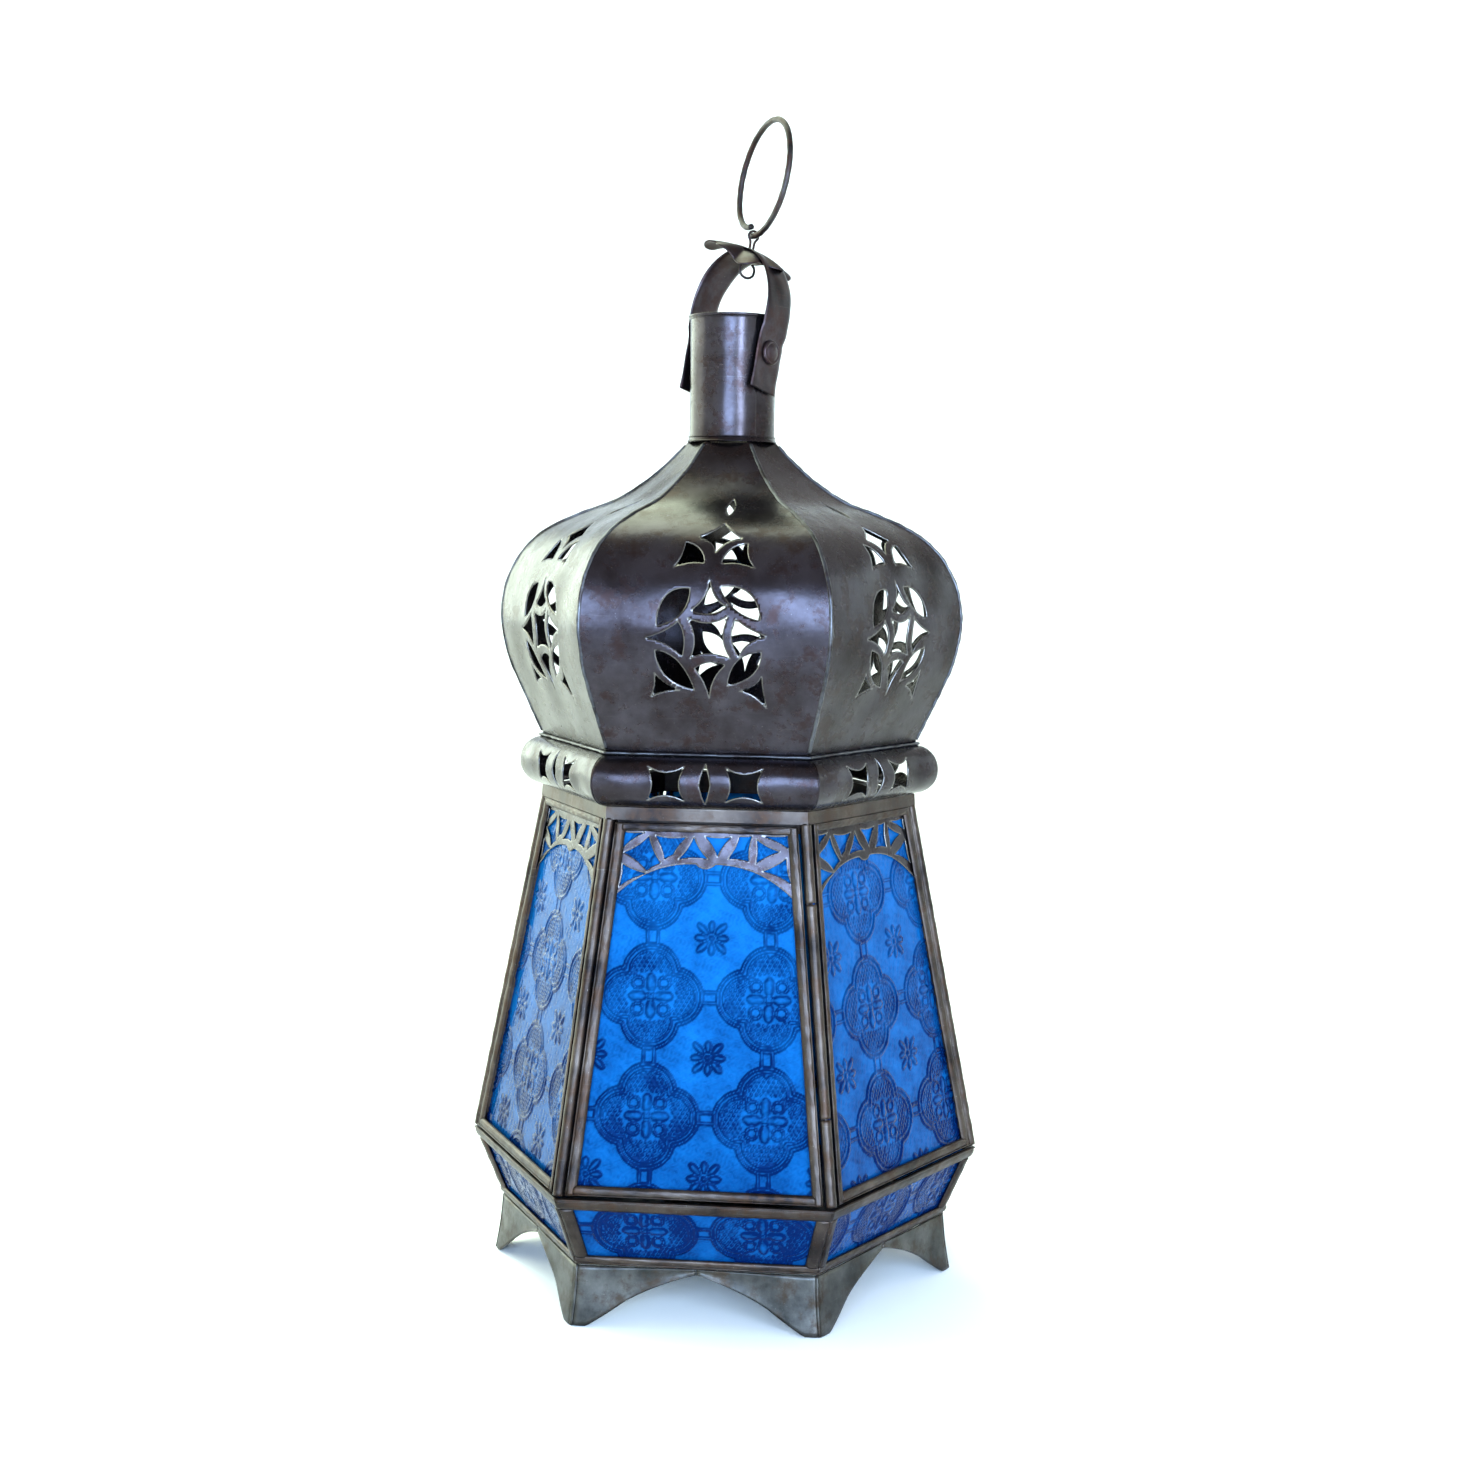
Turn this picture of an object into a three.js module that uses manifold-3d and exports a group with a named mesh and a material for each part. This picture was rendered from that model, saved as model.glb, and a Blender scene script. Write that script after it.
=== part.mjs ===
// Hexagonal pierced-tin candle lantern: an onion dome on a flared cage of pressed blue glass,
// with a hinged front pane, and a bail, eye and ring to hang it by.
// Millimetres, +Z up, origin on the axis at the level of the foot tips. The front face looks along -Y.
import * as THREE from 'three';
import { mergeVertices } from 'three/addons/utils/BufferGeometryUtils.js';
import Module from 'manifold-3d';

const wasm = await Module();
wasm.setup();

// ---- driving dimensions -----------------------------------------------------------------------
const SIDES = 6;
const SHEET = 0.8;                 // tin sheet
const GAP = 0.3;                   // clearance between neighbouring pieces
const APOTHEM = Math.cos(Math.PI / SIDES);

const FOOT = { r: 105, z: 0 };     // corner radius and height of each level of the body
const BASE = { r: 101.5, z: 25.5 };
const SHOULDER = { r: 115, z: 56.5 };
const CAGE_TOP = { r: 83.3, z: 215 };
const TOP_RAIL = { outer: 84, inner: 77, z0: 211.4, z1: 215.6 };
const WAIST = { z0: 216, z1: 237.4, bulge: 9.6, apothem: 72.2, mitre: 0.35 };

const DOME_PROFILE = [             // corner radius, height
  [83.4, 238], [87, 245.5], [92.6, 257.5], [99, 272], [102.2, 285], [102.8, 294], [101.4, 304],
  [98, 313], [92, 322], [82.5, 330], [68, 337], [51, 343.5], [37, 352.5], [27, 361.3], [19.5, 369.2],
];
const DOME_SEAM = 0.2;             // half the slit between two gores

const NECK = { r: 18.9, z0: 369.5, z1: 424, rimR: 19.9 };
const BAIL = {
  azimuth: -32.4, tilt: 14, z: 407.5, width: 17, sheet: 1, eyeHoleR: 2.1,
  legR: 19.9, legFoot: -17, legTop: 6, archR: 21.3, kinkTop: 11.5, archFoot: 18, rise: 46,
};
const RIVET = { shankR: 1.5, holeR: 1.9, headR: 5.4, headH: 2.2, clinchR: 3, clinchH: 1.2 };
const FLOWER = { r: 17, petals: 8, wave: 1.3, lean: 12, holeR: 2.3, above: 1.1 };
const EYE = { wireR: 0.6, legX: 1, loopR: 2.6, centre: 54.5, curlR: 3.7, turn: -117.7 };
// From and to are degrees round the hoop, which leans in its own plane and to its side. Its far end
// is sprung inwards, by `spring` at most.
const RING = {
  wireR: 1.4, r: 25.6, from: -97, to: 258, lean: -10.4, side: 3.5, spring: 4, springFrom: 205,
};
const POST = { r: 2.4, z0: 57.6, z1: 210.6 };
const HINGE = { z0: 92.5, z1: 178, gap: 0.4, boreR: 1.25, pinR: 0.8 };   // z0 to z1 is the door's barrel
const CUP = { dishR: 29, dishFlatR: 26, dishH: 6, outerR: 13, innerR: 12.1, height: 20 };

const FACE_NAMES = ['front', 'front_right', 'back_right', 'back', 'back_left', 'front_left'];
const POST_NAMES = ['front_right', 'right', 'back_right', 'back_left', 'left', 'front_left'];

// ---- materials --------------------------------------------------------------------------------
const finish = (color, roughness, metalness, opacity = 1) => () => new THREE.MeshStandardMaterial({
  color, roughness, metalness, opacity, transparent: opacity < 1,
});
const tin = finish(0x4a4340, 0.45, 0.85);
const came = finish(0x55504c, 0.5, 0.8);
const solderedTin = finish(0x6a6f70, 0.5, 0.8);
const rustyIron = finish(0x5b504d, 0.7, 0.6);
const blueGlass = finish(0x1668c8, 0.15, 0, 0.75);

// ---- solids and joins -------------------------------------------------------------------------
function solid(geometry) {
  const bare = geometry.clone();
  bare.deleteAttribute('normal');
  bare.deleteAttribute('uv');
  const merged = mergeVertices(bare, 1e-4);
  return new wasm.Manifold(new wasm.Mesh({
    numProp: 3,
    vertProperties: new Float32Array(merged.attributes.position.array),
    triVerts: new Uint32Array(merged.index.array),
  }));
}

function geometryOf(body) {
  const { vertProperties, triVerts } = body.getMesh();
  const geometry = new THREE.BufferGeometry();
  geometry.setAttribute('position', new THREE.BufferAttribute(new Float32Array(vertProperties), 3));
  geometry.setIndex(new THREE.BufferAttribute(new Uint32Array(triVerts), 1));
  geometry.computeVertexNormals();
  return geometry;
}

function namedMesh(name, geometry, material) {
  const mesh = new THREE.Mesh(geometry, material());
  mesh.name = name;
  return mesh;
}

// ---- flat outlines ----------------------------------------------------------------------------
// A closed outline through the corners, each side bowed towards the outline's middle by `bow`
// times the side's length (a negative bow swells it).
function bowedOutline(corners, bow, PathClass = THREE.Shape) {
  const path = new PathClass();
  const mean = (axis) => corners.reduce((sum, c) => sum + c[axis], 0) / corners.length;
  const middle = [mean(0), mean(1)];
  path.moveTo(...corners[0]);
  corners.forEach((from, i) => {
    const to = corners[(i + 1) % corners.length];
    const mid = [(from[0] + to[0]) / 2, (from[1] + to[1]) / 2];
    const inward = new THREE.Vector2(middle[0] - mid[0], middle[1] - mid[1]).normalize();
    inward.multiplyScalar(2 * bow * Math.hypot(to[0] - from[0], to[1] - from[1]));
    path.quadraticCurveTo(mid[0] + inward.x, mid[1] + inward.y, ...to);
  });
  return path;
}

const mirrored = (corners) => corners.map(([x, y]) => [-x, y]).reverse();

function hexagon(r, PathClass = THREE.Shape) {
  const path = new PathClass();
  const corners = Array.from({ length: SIDES }, (_, i) => (i * 2 * Math.PI) / SIDES);
  path.setFromPoints(corners.map((a) => new THREE.Vector2(r * Math.cos(a), r * Math.sin(a))));
  return path;
}

// A hexagonal ring of bar between two corner radii, from height z0 to z1.
function hexRing(outer, inner, z0, z1) {
  const shape = hexagon(outer);
  shape.holes.push(hexagon(inner, THREE.Path));
  const geometry = new THREE.ExtrudeGeometry(shape, { depth: z1 - z0, bevelEnabled: false });
  return geometry.translate(0, 0, z0);
}

// ---- the six slanting faces of a band of the body ---------------------------------------------
// Each face has its own frame: x to the right, y up the slope from the lower edge, z outwards.
function band(lower, upper) {
  const run = (lower.r - upper.r) * APOTHEM;
  const rise = upper.z - lower.z;
  const slope = Math.hypot(run, rise);
  const side = Math.atan((lower.r - upper.r) / 2 / slope);
  return {
    lower, slope, lean: Math.atan2(run, rise), side,
    halfWidth: (y) => lower.r / 2 + ((upper.r - lower.r) / 2) * (y / slope),
  };
}

const CAGE = band(SHOULDER, CAGE_TOP);
const BASE_BAND = band(BASE, SHOULDER);
const SKIRT = band(FOOT, BASE);

function trapezoid(face, edge, y0, y1, PathClass = THREE.Shape) {
  const inset = edge / Math.cos(face.side);
  const low = face.halfWidth(y0) - inset;
  const high = face.halfWidth(y1) - inset;
  const corners = [[-low, y0], [low, y0], [high, y1], [-high, y1]];
  return new PathClass(corners.map((p) => new THREE.Vector2(...p)));
}

function frameOutline(face, outer, inner) {
  const shape = trapezoid(face, outer.edge, outer.y0, outer.y1);
  shape.holes.push(trapezoid(face, inner.edge, inner.y0, inner.y1, THREE.Path));
  return shape;
}

// An outline given thickness, its outer surface `depth` behind the face plane.
function plate(shape, depth, thickness, curveSegments = 2) {
  const geometry = new THREE.ExtrudeGeometry(shape, { depth: thickness, bevelEnabled: false, curveSegments });
  return geometry.translate(0, 0, -depth - thickness);
}

// From a face's own frame to the lantern's, for the face `index` sixths of a turn round.
function placement(face, index = 0) {
  return new THREE.Matrix4().makeRotationZ((index * 2 * Math.PI) / SIDES)
    .multiply(new THREE.Matrix4().makeTranslation(0, -face.lower.r * APOTHEM, face.lower.z))
    .multiply(new THREE.Matrix4().makeRotationX(Math.PI / 2 - face.lean));
}

function onFace(mesh, face, index) {
  mesh.applyMatrix4(placement(face, index));
  return mesh;
}

function turned(mesh, index) {
  mesh.rotation.z = (index * 2 * Math.PI) / SIDES;
  return mesh;
}

// A bar along the front face, from its section drawn as distance out from the axis and height.
function barAcross(section) {
  const length = 130;
  const bar = new THREE.ExtrudeGeometry(section, { depth: length, bevelEnabled: false });
  return bar.translate(0, 0, -length / 2).applyMatrix4(new THREE.Matrix4().makeBasis(
    new THREE.Vector3(0, -1, 0), new THREE.Vector3(0, 0, 1), new THREE.Vector3(-1, 0, 0),
  ));
}

// A prism along Y through the front face, from an outline in X and Z.
function punch(shape) {
  const depth = 120;
  const geometry = new THREE.ExtrudeGeometry(shape, { depth, bevelEnabled: false, curveSegments: 2 });
  return geometry.rotateX(Math.PI / 2);
}

// Keeps the sixth of a body that lies between the front face's two corner planes, less a gap.
function wedgeClip(body, gap) {
  const reach = 150;
  const wedge = new THREE.Shape([
    new THREE.Vector2(0, -2 * gap),
    new THREE.Vector2(-reach / 2, -2 * gap - reach * APOTHEM),
    new THREE.Vector2(reach / 2, -2 * gap - reach * APOTHEM),
  ]);
  const prism = new THREE.ExtrudeGeometry(wedge, { depth: 500, bevelEnabled: false });
  return body.intersect(solid(prism));
}

// The two sides of a strip of the given thickness about a line of points.
function stripSection(line, outward, inward) {
  const offset = (distance) => line.map((p, i) => {
    const before = line[Math.max(i - 1, 0)];
    const after = line[Math.min(i + 1, line.length - 1)];
    const along = after.clone().sub(before).normalize();
    return new THREE.Vector2(p.x + along.y * distance, p.y - along.x * distance);
  });
  return new THREE.Shape([...offset(outward), ...offset(-inward).reverse()]);
}

// ---- the cage: came frames, panes, tracery ----------------------------------------------------
const CAME = {
  edge: 3.9, lip: 7.7, web: 0.9, back: 2.7, lipDepth: 1.6, depth: 6.2,
  y0: 1.8, rail: 4.2, topRail: 3.4, bevel: 0.6,
};
const PANE = { edge: 5.1, depth: 2.9, thickness: 2.2, inset: 1.3 };
const FRAME_TOP = 156.2;
const DOOR_TOP = 155.2;

// A came of C section: a rounded lip in front, an outer web and a narrow lip behind the glass.
function cameFrame(top) {
  const inset = (by) => ({ edge: CAME.edge + by, y0: CAME.y0 + by, y1: top - by });
  const { bevel } = CAME;
  const front = new THREE.ExtrudeGeometry(
    frameOutline(CAGE, inset(0), { edge: CAME.lip, y0: CAME.y0 + CAME.rail, y1: top - CAME.topRail }),
    {
      depth: CAME.lipDepth - 2 * bevel,
      bevelThickness: bevel, bevelSize: bevel, bevelOffset: -bevel, bevelSegments: 1,
    },
  ).translate(0, 0, bevel - CAME.lipDepth);
  const midLip = CAME.lipDepth / 2;
  const web = plate(frameOutline(CAGE, inset(0), inset(CAME.web)), midLip, CAME.depth - midLip);
  const back = plate(frameOutline(CAGE, inset(0), inset(CAME.back)), CAME.depth - SHEET, SHEET);
  return solid(front).add(solid(web)).add(solid(back));
}

function pane(top) {
  const outline = trapezoid(CAGE, PANE.edge, CAME.y0 + PANE.inset, top - PANE.inset);
  return plate(outline, PANE.depth, PANE.thickness);
}

// The pierced head of each pane: a lambrequin of zigzag bars over two lobes that meet at a drop.
const TRACERY = { depth: 1.9, thickness: 0.7, spring: 122, crown: 140.5, drop: 4.2, dropTip: 136.1 };
const TRACERY_CENTRE = [[-7.4, 150.6], [7.4, 150.6], [0, 145.6]];
const TRACERY_HOLES = [
  [[10.6, 149.6], [18.6, 141.4], [3.6, 143.2]],
  [[14, 150.6], [25.6, 150.6], [20.6, 144.4]],
  [[29.2, 149.2], [35.6, 143], [34.4, 139.4], [27.4, 137.2], [23.4, 141.4]],
  [[37, 137.4], [37.6, 130.6], [31.6, 135]],
  [[32.4, 150.4], [35.6, 150.4], [35.4, 146.4]],
];

function tracery(top) {
  const y1 = top - PANE.inset;
  const inset = PANE.edge / Math.cos(CAGE.side);
  const low = CAGE.halfWidth(TRACERY.spring) - inset;
  const high = CAGE.halfWidth(y1) - inset;
  const shoulder = TRACERY.crown - 0.6;
  const shape = new THREE.Shape();
  shape.moveTo(-high, y1);
  shape.lineTo(-low, TRACERY.spring);
  shape.quadraticCurveTo(-low * 0.62, TRACERY.crown, -TRACERY.drop, shoulder);
  shape.quadraticCurveTo(0, TRACERY.dropTip, TRACERY.drop, shoulder);
  shape.quadraticCurveTo(low * 0.62, TRACERY.crown, low, TRACERY.spring);
  shape.lineTo(high, y1);
  shape.closePath();
  shape.holes.push(bowedOutline(TRACERY_CENTRE, 0.06, THREE.Path));
  for (const hole of TRACERY_HOLES) {
    shape.holes.push(bowedOutline(hole, 0.05, THREE.Path));
    shape.holes.push(bowedOutline(mirrored(hole), 0.05, THREE.Path));
  }
  return plate(shape, TRACERY.depth, TRACERY.thickness);
}

// ---- corner posts and the door's hinge --------------------------------------------------------
const postPoint = (z) => {
  const along = (z - SHOULDER.z) / (CAGE_TOP.z - SHOULDER.z);
  const corner = SHOULDER.r + (CAGE_TOP.r - SHOULDER.r) * along;
  return new THREE.Vector3(corner - POST.r * 1.02, 0, z);
};
const POST_DIRECTION = postPoint(POST.z1).sub(postPoint(POST.z0)).normalize();

// A round bar along the corner line between two heights, in the plane of azimuth 0.
function postBar(radius, z0, z1, segments = 12) {
  const from = postPoint(z0);
  const to = postPoint(z1);
  const stand = new THREE.Quaternion().setFromUnitVectors(new THREE.Vector3(0, 1, 0), POST_DIRECTION);
  const geometry = new THREE.CylinderGeometry(radius, radius, from.distanceTo(to), segments);
  geometry.applyQuaternion(stand);
  return geometry.translate((from.x + to.x) / 2, 0, (z0 + z1) / 2);
}

// A square bar beside the corner line, its middle `offset` along `direction` from it.
function postStrip(size, direction, offset, z0, z1) {
  const middle = postPoint((z0 + z1) / 2);
  const stand = new THREE.Quaternion().setFromUnitVectors(new THREE.Vector3(0, 0, 1), POST_DIRECTION);
  const geometry = new THREE.BoxGeometry(size[0], size[1], postPoint(z0).distanceTo(postPoint(z1)));
  geometry.rotateZ(Math.atan2(direction.y, direction.x));
  geometry.applyQuaternion(stand);
  return geometry.translate(middle.x + direction.x * offset, direction.y * offset, middle.z);
}

const hingeBore = () => solid(postBar(HINGE.boreR, POST.z0 - 2, POST.z1 + 2, 10));

// The fixed leaf: an upper and a lower barrel joined by a strip inside the corner.
function hingePost() {
  const strip = postStrip([1.9, 1], new THREE.Vector2(-1, 0), 3, POST.z0 + 1, POST.z1 - 1);
  const middle = postBar(POST.r + GAP, HINGE.z0 - HINGE.gap, HINGE.z1 + HINGE.gap);
  return solid(postBar(POST.r, POST.z0, POST.z1))
    .add(solid(strip))
    .subtract(solid(middle))
    .subtract(hingeBore());
}

// The door's barrel with the leaf that reaches to its stile, in the plane of azimuth 0.
function doorBarrel() {
  const towardsDoor = new THREE.Vector2(-0.5, -APOTHEM);
  const leaf = postStrip([1.7, 1.4], towardsDoor, 2.9, HINGE.z0, HINGE.z1);
  return solid(postBar(POST.r, HINGE.z0, HINGE.z1)).add(solid(leaf)).subtract(hingeBore());
}

function doorFrame() {
  const frame = geometryOf(cameFrame(DOOR_TOP)).applyMatrix4(placement(CAGE));
  const barrel = geometryOf(doorBarrel()).rotateZ(-Math.PI / 3);
  return solid(frame).add(solid(barrel));
}

// ---- the waist moulding -----------------------------------------------------------------------
const WAIST_STAR = { halfWidth: 7.75, halfHeight: 7.2, at: 16.2, bow: 0.16 };
const WAIST_LENS = { halfWidth: 2.2, halfHeight: 8.2, bow: -0.05 };

// A half-round strip along the front face, mitred at the corners, with a lens between two stars.
function waistMoulding() {
  const middle = (WAIST.z0 + WAIST.z1) / 2;
  const half = (WAIST.z1 - WAIST.z0) / 2;
  const end = Math.PI / 2;
  const arc = new THREE.EllipseCurve(WAIST.apothem, middle, WAIST.bulge, half, -end, end);
  let body = wedgeClip(solid(barAcross(stripSection(arc.getPoints(10), 0, SHEET))), WAIST.mitre);
  const cuts = [-WAIST_STAR.at, WAIST_STAR.at].map((x) => {
    const { halfWidth, halfHeight, bow } = WAIST_STAR;
    const corners = [[-1, 1], [1, 1], [1, -1], [-1, -1]];
    return bowedOutline(corners.map(([i, k]) => [x + i * halfWidth, middle + k * halfHeight]), bow);
  });
  const { halfWidth, halfHeight, bow } = WAIST_LENS;
  const tips = [[0, -1], [1, 0], [0, 1], [-1, 0]];
  cuts.push(bowedOutline(tips.map(([i, k]) => [i * halfWidth, middle + k * halfHeight]), bow));
  for (const cut of cuts) {
    body = body.subtract(solid(punch(cut)));
  }
  return body;
}

// ---- the dome ---------------------------------------------------------------------------------
// Corners of the holes pierced in the front gore, in X and Z, with the bow of their sides.
const MIDDLE_HOLES = [
  { corners: [[-6.6, 296.4], [6.6, 296.4], [6.6, 278.6], [-6.6, 278.6]], bow: 0.08 },
  { corners: [[0, 311.2], [6.3, 300.4], [-6.3, 300.4]], bow: 0.05 },
  { corners: [[0, 265.4], [-6, 275.2], [6, 275.2]], bow: 0.05 },
  { corners: [[0, 332.4], [6.2, 327.6], [0, 320.4], [-6.2, 327.6]], bow: 0.02 },
  { corners: [[0, 336.4], [1.6, 340], [0, 344], [-1.6, 340]], bow: -0.05 },
];
const PAIRED_HOLES = [             // also cut in mirror image
  { corners: [[26.4, 287.4], [9.6, 295.4], [9.6, 279.4]], bow: 0.06 },
  { corners: [[23.6, 259.6], [22, 269.2], [11, 264.4]], bow: 0.06 },
  { corners: [[13.8, 315.2], [8.2, 325.4], [2.6, 315.4]], bow: 0.06 },
  { corners: [[20.6, 291.4], [19.4, 302.2], [6.6, 307], [11.4, 298.6]], bow: -0.1 },
  { corners: [[20.6, 284], [19.6, 272.6], [6.4, 266.4], [10.6, 276.6]], bow: -0.1 },
];

function domeGore() {
  const profile = new THREE.SplineCurve(DOME_PROFILE.map(([r, z]) => new THREE.Vector2(r * APOTHEM, z)));
  let gore = wedgeClip(solid(barAcross(stripSection(profile.getPoints(18), 0, SHEET))), DOME_SEAM);
  const cuts = [...MIDDLE_HOLES, ...PAIRED_HOLES].map(({ corners, bow }) => bowedOutline(corners, bow));
  cuts.push(...PAIRED_HOLES.map(({ corners, bow }) => bowedOutline(mirrored(corners), bow)));
  for (const cut of cuts) {
    gore = gore.subtract(solid(punch(cut)));
  }
  return gore;
}

// ---- base, feet and floor ---------------------------------------------------------------------
const BASE_FRAME = { lip: 1.6, post: 5.4, rail: 3.6, topRail: 6, flange: 9, sheet: 0.9 };
const BASE_PANE = { edge: 3.2, foot: 2.2, head: 3.4 };

function hexFlange(r, z) {
  return solid(hexRing(r, r - BASE_FRAME.flange, z, z + BASE_FRAME.sheet));
}

// Six soldered strip frames with a flange turned in above and below, cut level at both ends.
function baseFrame() {
  const top = SHOULDER.z + GAP;
  const { slope } = BASE_BAND;
  const window = { edge: BASE_FRAME.post, y0: BASE_FRAME.rail, y1: slope - BASE_FRAME.topRail };
  const outline = frameOutline(BASE_BAND, { edge: 0, y0: 0, y1: slope }, window);
  let body = hexFlange(SHOULDER.r - 1, top - BASE_FRAME.sheet).add(hexFlange(BASE.r, BASE.z));
  for (let i = 0; i < SIDES; i += 1) {
    body = body.add(solid(plate(outline, 0, BASE_FRAME.lip).applyMatrix4(placement(BASE_BAND, i))));
  }
  const above = new THREE.BoxGeometry(400, 400, 40).translate(0, 0, top + 20);
  const below = new THREE.BoxGeometry(400, 400, 40).translate(0, 0, BASE.z - 20);
  return body.subtract(solid(above)).subtract(solid(below));
}

function basePane() {
  const outline = trapezoid(BASE_BAND, BASE_PANE.edge, BASE_PANE.foot, BASE_BAND.slope - BASE_PANE.head);
  return plate(outline, BASE_FRAME.lip + GAP, PANE.thickness);
}

const FOOT_FLAT = 7;                         // width of the level tip on each side of the corner
const FOOT_SWEEP = [[18, 18.5], [30, 11], [38, 5]];
const FOOT_CROTCH = 23.6;

// Half a foot on one face: `hand` is 1 for the face's right-hand end and -1 for its left.
function footLeaf(hand) {
  const top = SKIRT.slope - GAP;
  const [bend, middle, run] = FOOT_SWEEP.map(([x, y]) => [x * hand, y]);
  const shape = new THREE.Shape();
  shape.moveTo(SKIRT.halfWidth(0) * hand, 0);
  shape.lineTo(SKIRT.halfWidth(top) * hand, top);
  shape.lineTo((GAP / 2) * hand, top);
  shape.lineTo((GAP / 2) * hand, FOOT_CROTCH);
  shape.quadraticCurveTo(...bend, ...middle);
  shape.quadraticCurveTo(...run, (SKIRT.halfWidth(0) - FOOT_FLAT) * hand, 0);
  shape.closePath();
  return plate(shape, 0, SHEET, 3);
}

// One foot: a sheet folded round the corner, its lower edge sweeping up to the middle of each face.
function foot() {
  const under = new THREE.BoxGeometry(400, 400, 40).translate(0, 0, -20);
  return solid(footLeaf(1).applyMatrix4(placement(SKIRT)))
    .add(solid(footLeaf(-1).applyMatrix4(placement(SKIRT, 1))))
    .subtract(solid(under));
}

const FLOOR = { r: 94.5, z: BASE.z + BASE_FRAME.sheet + GAP };

function floorPlate() {
  const geometry = new THREE.ExtrudeGeometry(hexagon(FLOOR.r), { depth: SHEET, bevelEnabled: false });
  return geometry.translate(0, 0, FLOOR.z);
}

// The candle stands in a short socket in the middle of a drip dish.
function candleCup() {
  const z = FLOOR.z + SHEET + GAP;
  const lip = SHEET;
  const profile = [
    [0, 0], [CUP.dishFlatR, 0], [CUP.dishR, CUP.dishH], [CUP.dishR - lip, CUP.dishH],
    [CUP.dishFlatR - lip, 1], [CUP.outerR, 1], [CUP.outerR, CUP.height],
    [CUP.innerR, CUP.height], [CUP.innerR, 1], [0, 1],
  ];
  const lathe = new THREE.LatheGeometry(profile.map(([r, h]) => new THREE.Vector2(r, h + z)), 24);
  return lathe.rotateX(Math.PI / 2);
}

// ---- neck, bail and hanging gear --------------------------------------------------------------
function neckTube() {
  const { r, z0, z1, rimR } = NECK;
  const inner = r - SHEET;
  const profile = [
    [inner, z0], [r, z0], [r, z1 - 2], [rimR, z1 - 0.8],
    [rimR, z1], [rimR - SHEET, z1], [inner, z1 - 1.6], [inner, z0],
  ];
  const lathe = new THREE.LatheGeometry(profile.map((p) => new THREE.Vector2(...p)), 28);
  const hole = new THREE.CylinderGeometry(RIVET.holeR, RIVET.holeR, 60, 10);
  hole.rotateZ(Math.PI / 2).rotateZ(THREE.MathUtils.degToRad(BAIL.azimuth)).translate(0, 0, BAIL.z);
  return solid(lathe.rotateX(Math.PI / 2)).subtract(solid(hole));
}

// A rivet along +X: clinched head inside the tube, shank, domed head outside.
function rivet() {
  const { shankR, headR, headH, clinchR, clinchH } = RIVET;
  const seat = NECK.r - SHEET - GAP;
  const head = BAIL.legR + BAIL.sheet / 2 + GAP;
  const profile = [
    [0, seat - clinchH], [clinchR, seat - clinchH], [clinchR, seat], [shankR, seat], [shankR, head],
    [headR, head], [headR * 0.86, head + headH * 0.55], [headR * 0.5, head + headH * 0.9], [0, head + headH],
  ];
  const lathe = new THREE.LatheGeometry(profile.map(([r, x]) => new THREE.Vector2(r, x)), 14);
  return lathe.rotateZ(-Math.PI / 2);
}

// The strap's middle line from the foot of one leg to the top of the arch, in X and Z.
function strapLine() {
  const { legR, legFoot, legTop, archR, kinkTop, archFoot, rise } = BAIL;
  const leg = [[legR, legFoot], [legR, legTop], [archR, kinkTop]];
  const arch = new THREE.EllipseCurve(0, archFoot, archR, rise - archFoot, 0, Math.PI / 2);
  return leg.map((p) => new THREE.Vector2(...p)).concat(arch.getPoints(9));
}

function strap() {
  const half = strapLine();
  const line = half.concat(half.slice(0, -1).reverse().map((p) => new THREE.Vector2(-p.x, p.y)));
  const section = stripSection(line, BAIL.sheet / 2, BAIL.sheet / 2);
  const geometry = new THREE.ExtrudeGeometry(section, { depth: BAIL.width, bevelEnabled: false });
  geometry.rotateX(Math.PI / 2).translate(0, BAIL.width / 2, 0);
  const rivetHoles = new THREE.CylinderGeometry(RIVET.holeR, RIVET.holeR, 60, 10).rotateZ(Math.PI / 2);
  const eyeHole = new THREE.CylinderGeometry(BAIL.eyeHoleR, BAIL.eyeHoleR, 12, 12).rotateX(Math.PI / 2);
  return solid(geometry).subtract(solid(rivetHoles)).subtract(solid(eyeHole.translate(0, 0, BAIL.rise)));
}

// The flower: a scalloped washer that leans on top of the arch.
function flower() {
  const steps = FLOWER.petals * 6;
  const outline = Array.from({ length: steps }, (_, i) => {
    const a = (i * 2 * Math.PI) / steps;
    const r = FLOWER.r - FLOWER.wave + FLOWER.wave * Math.cos(FLOWER.petals * a);
    return new THREE.Vector2(r * Math.cos(a), r * Math.sin(a));
  });
  const shape = new THREE.Shape(outline);
  shape.holes.push(new THREE.Path().absarc(0, 0, FLOWER.holeR, 0, 2 * Math.PI, true));
  return new THREE.ExtrudeGeometry(shape, { depth: SHEET, bevelEnabled: false, curveSegments: 6 });
}

function wire(points, radius, steps, sides, closed = false) {
  const path = new THREE.CatmullRomCurve3(points.map((p) => new THREE.Vector3(...p)), closed, 'centripetal');
  const section = new THREE.Shape(Array.from({ length: sides }, (_, i) => {
    const a = (i * 2 * Math.PI) / sides;
    return new THREE.Vector2(radius * Math.cos(a), radius * Math.sin(a));
  }));
  return new THREE.ExtrudeGeometry(section, { steps, extrudePath: path, bevelEnabled: false });
}

const arcPoints = (degrees, toPoint) => degrees.map((deg) => {
  const a = THREE.MathUtils.degToRad(deg);
  return toPoint(Math.cos(a), Math.sin(a), deg);
});

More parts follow.
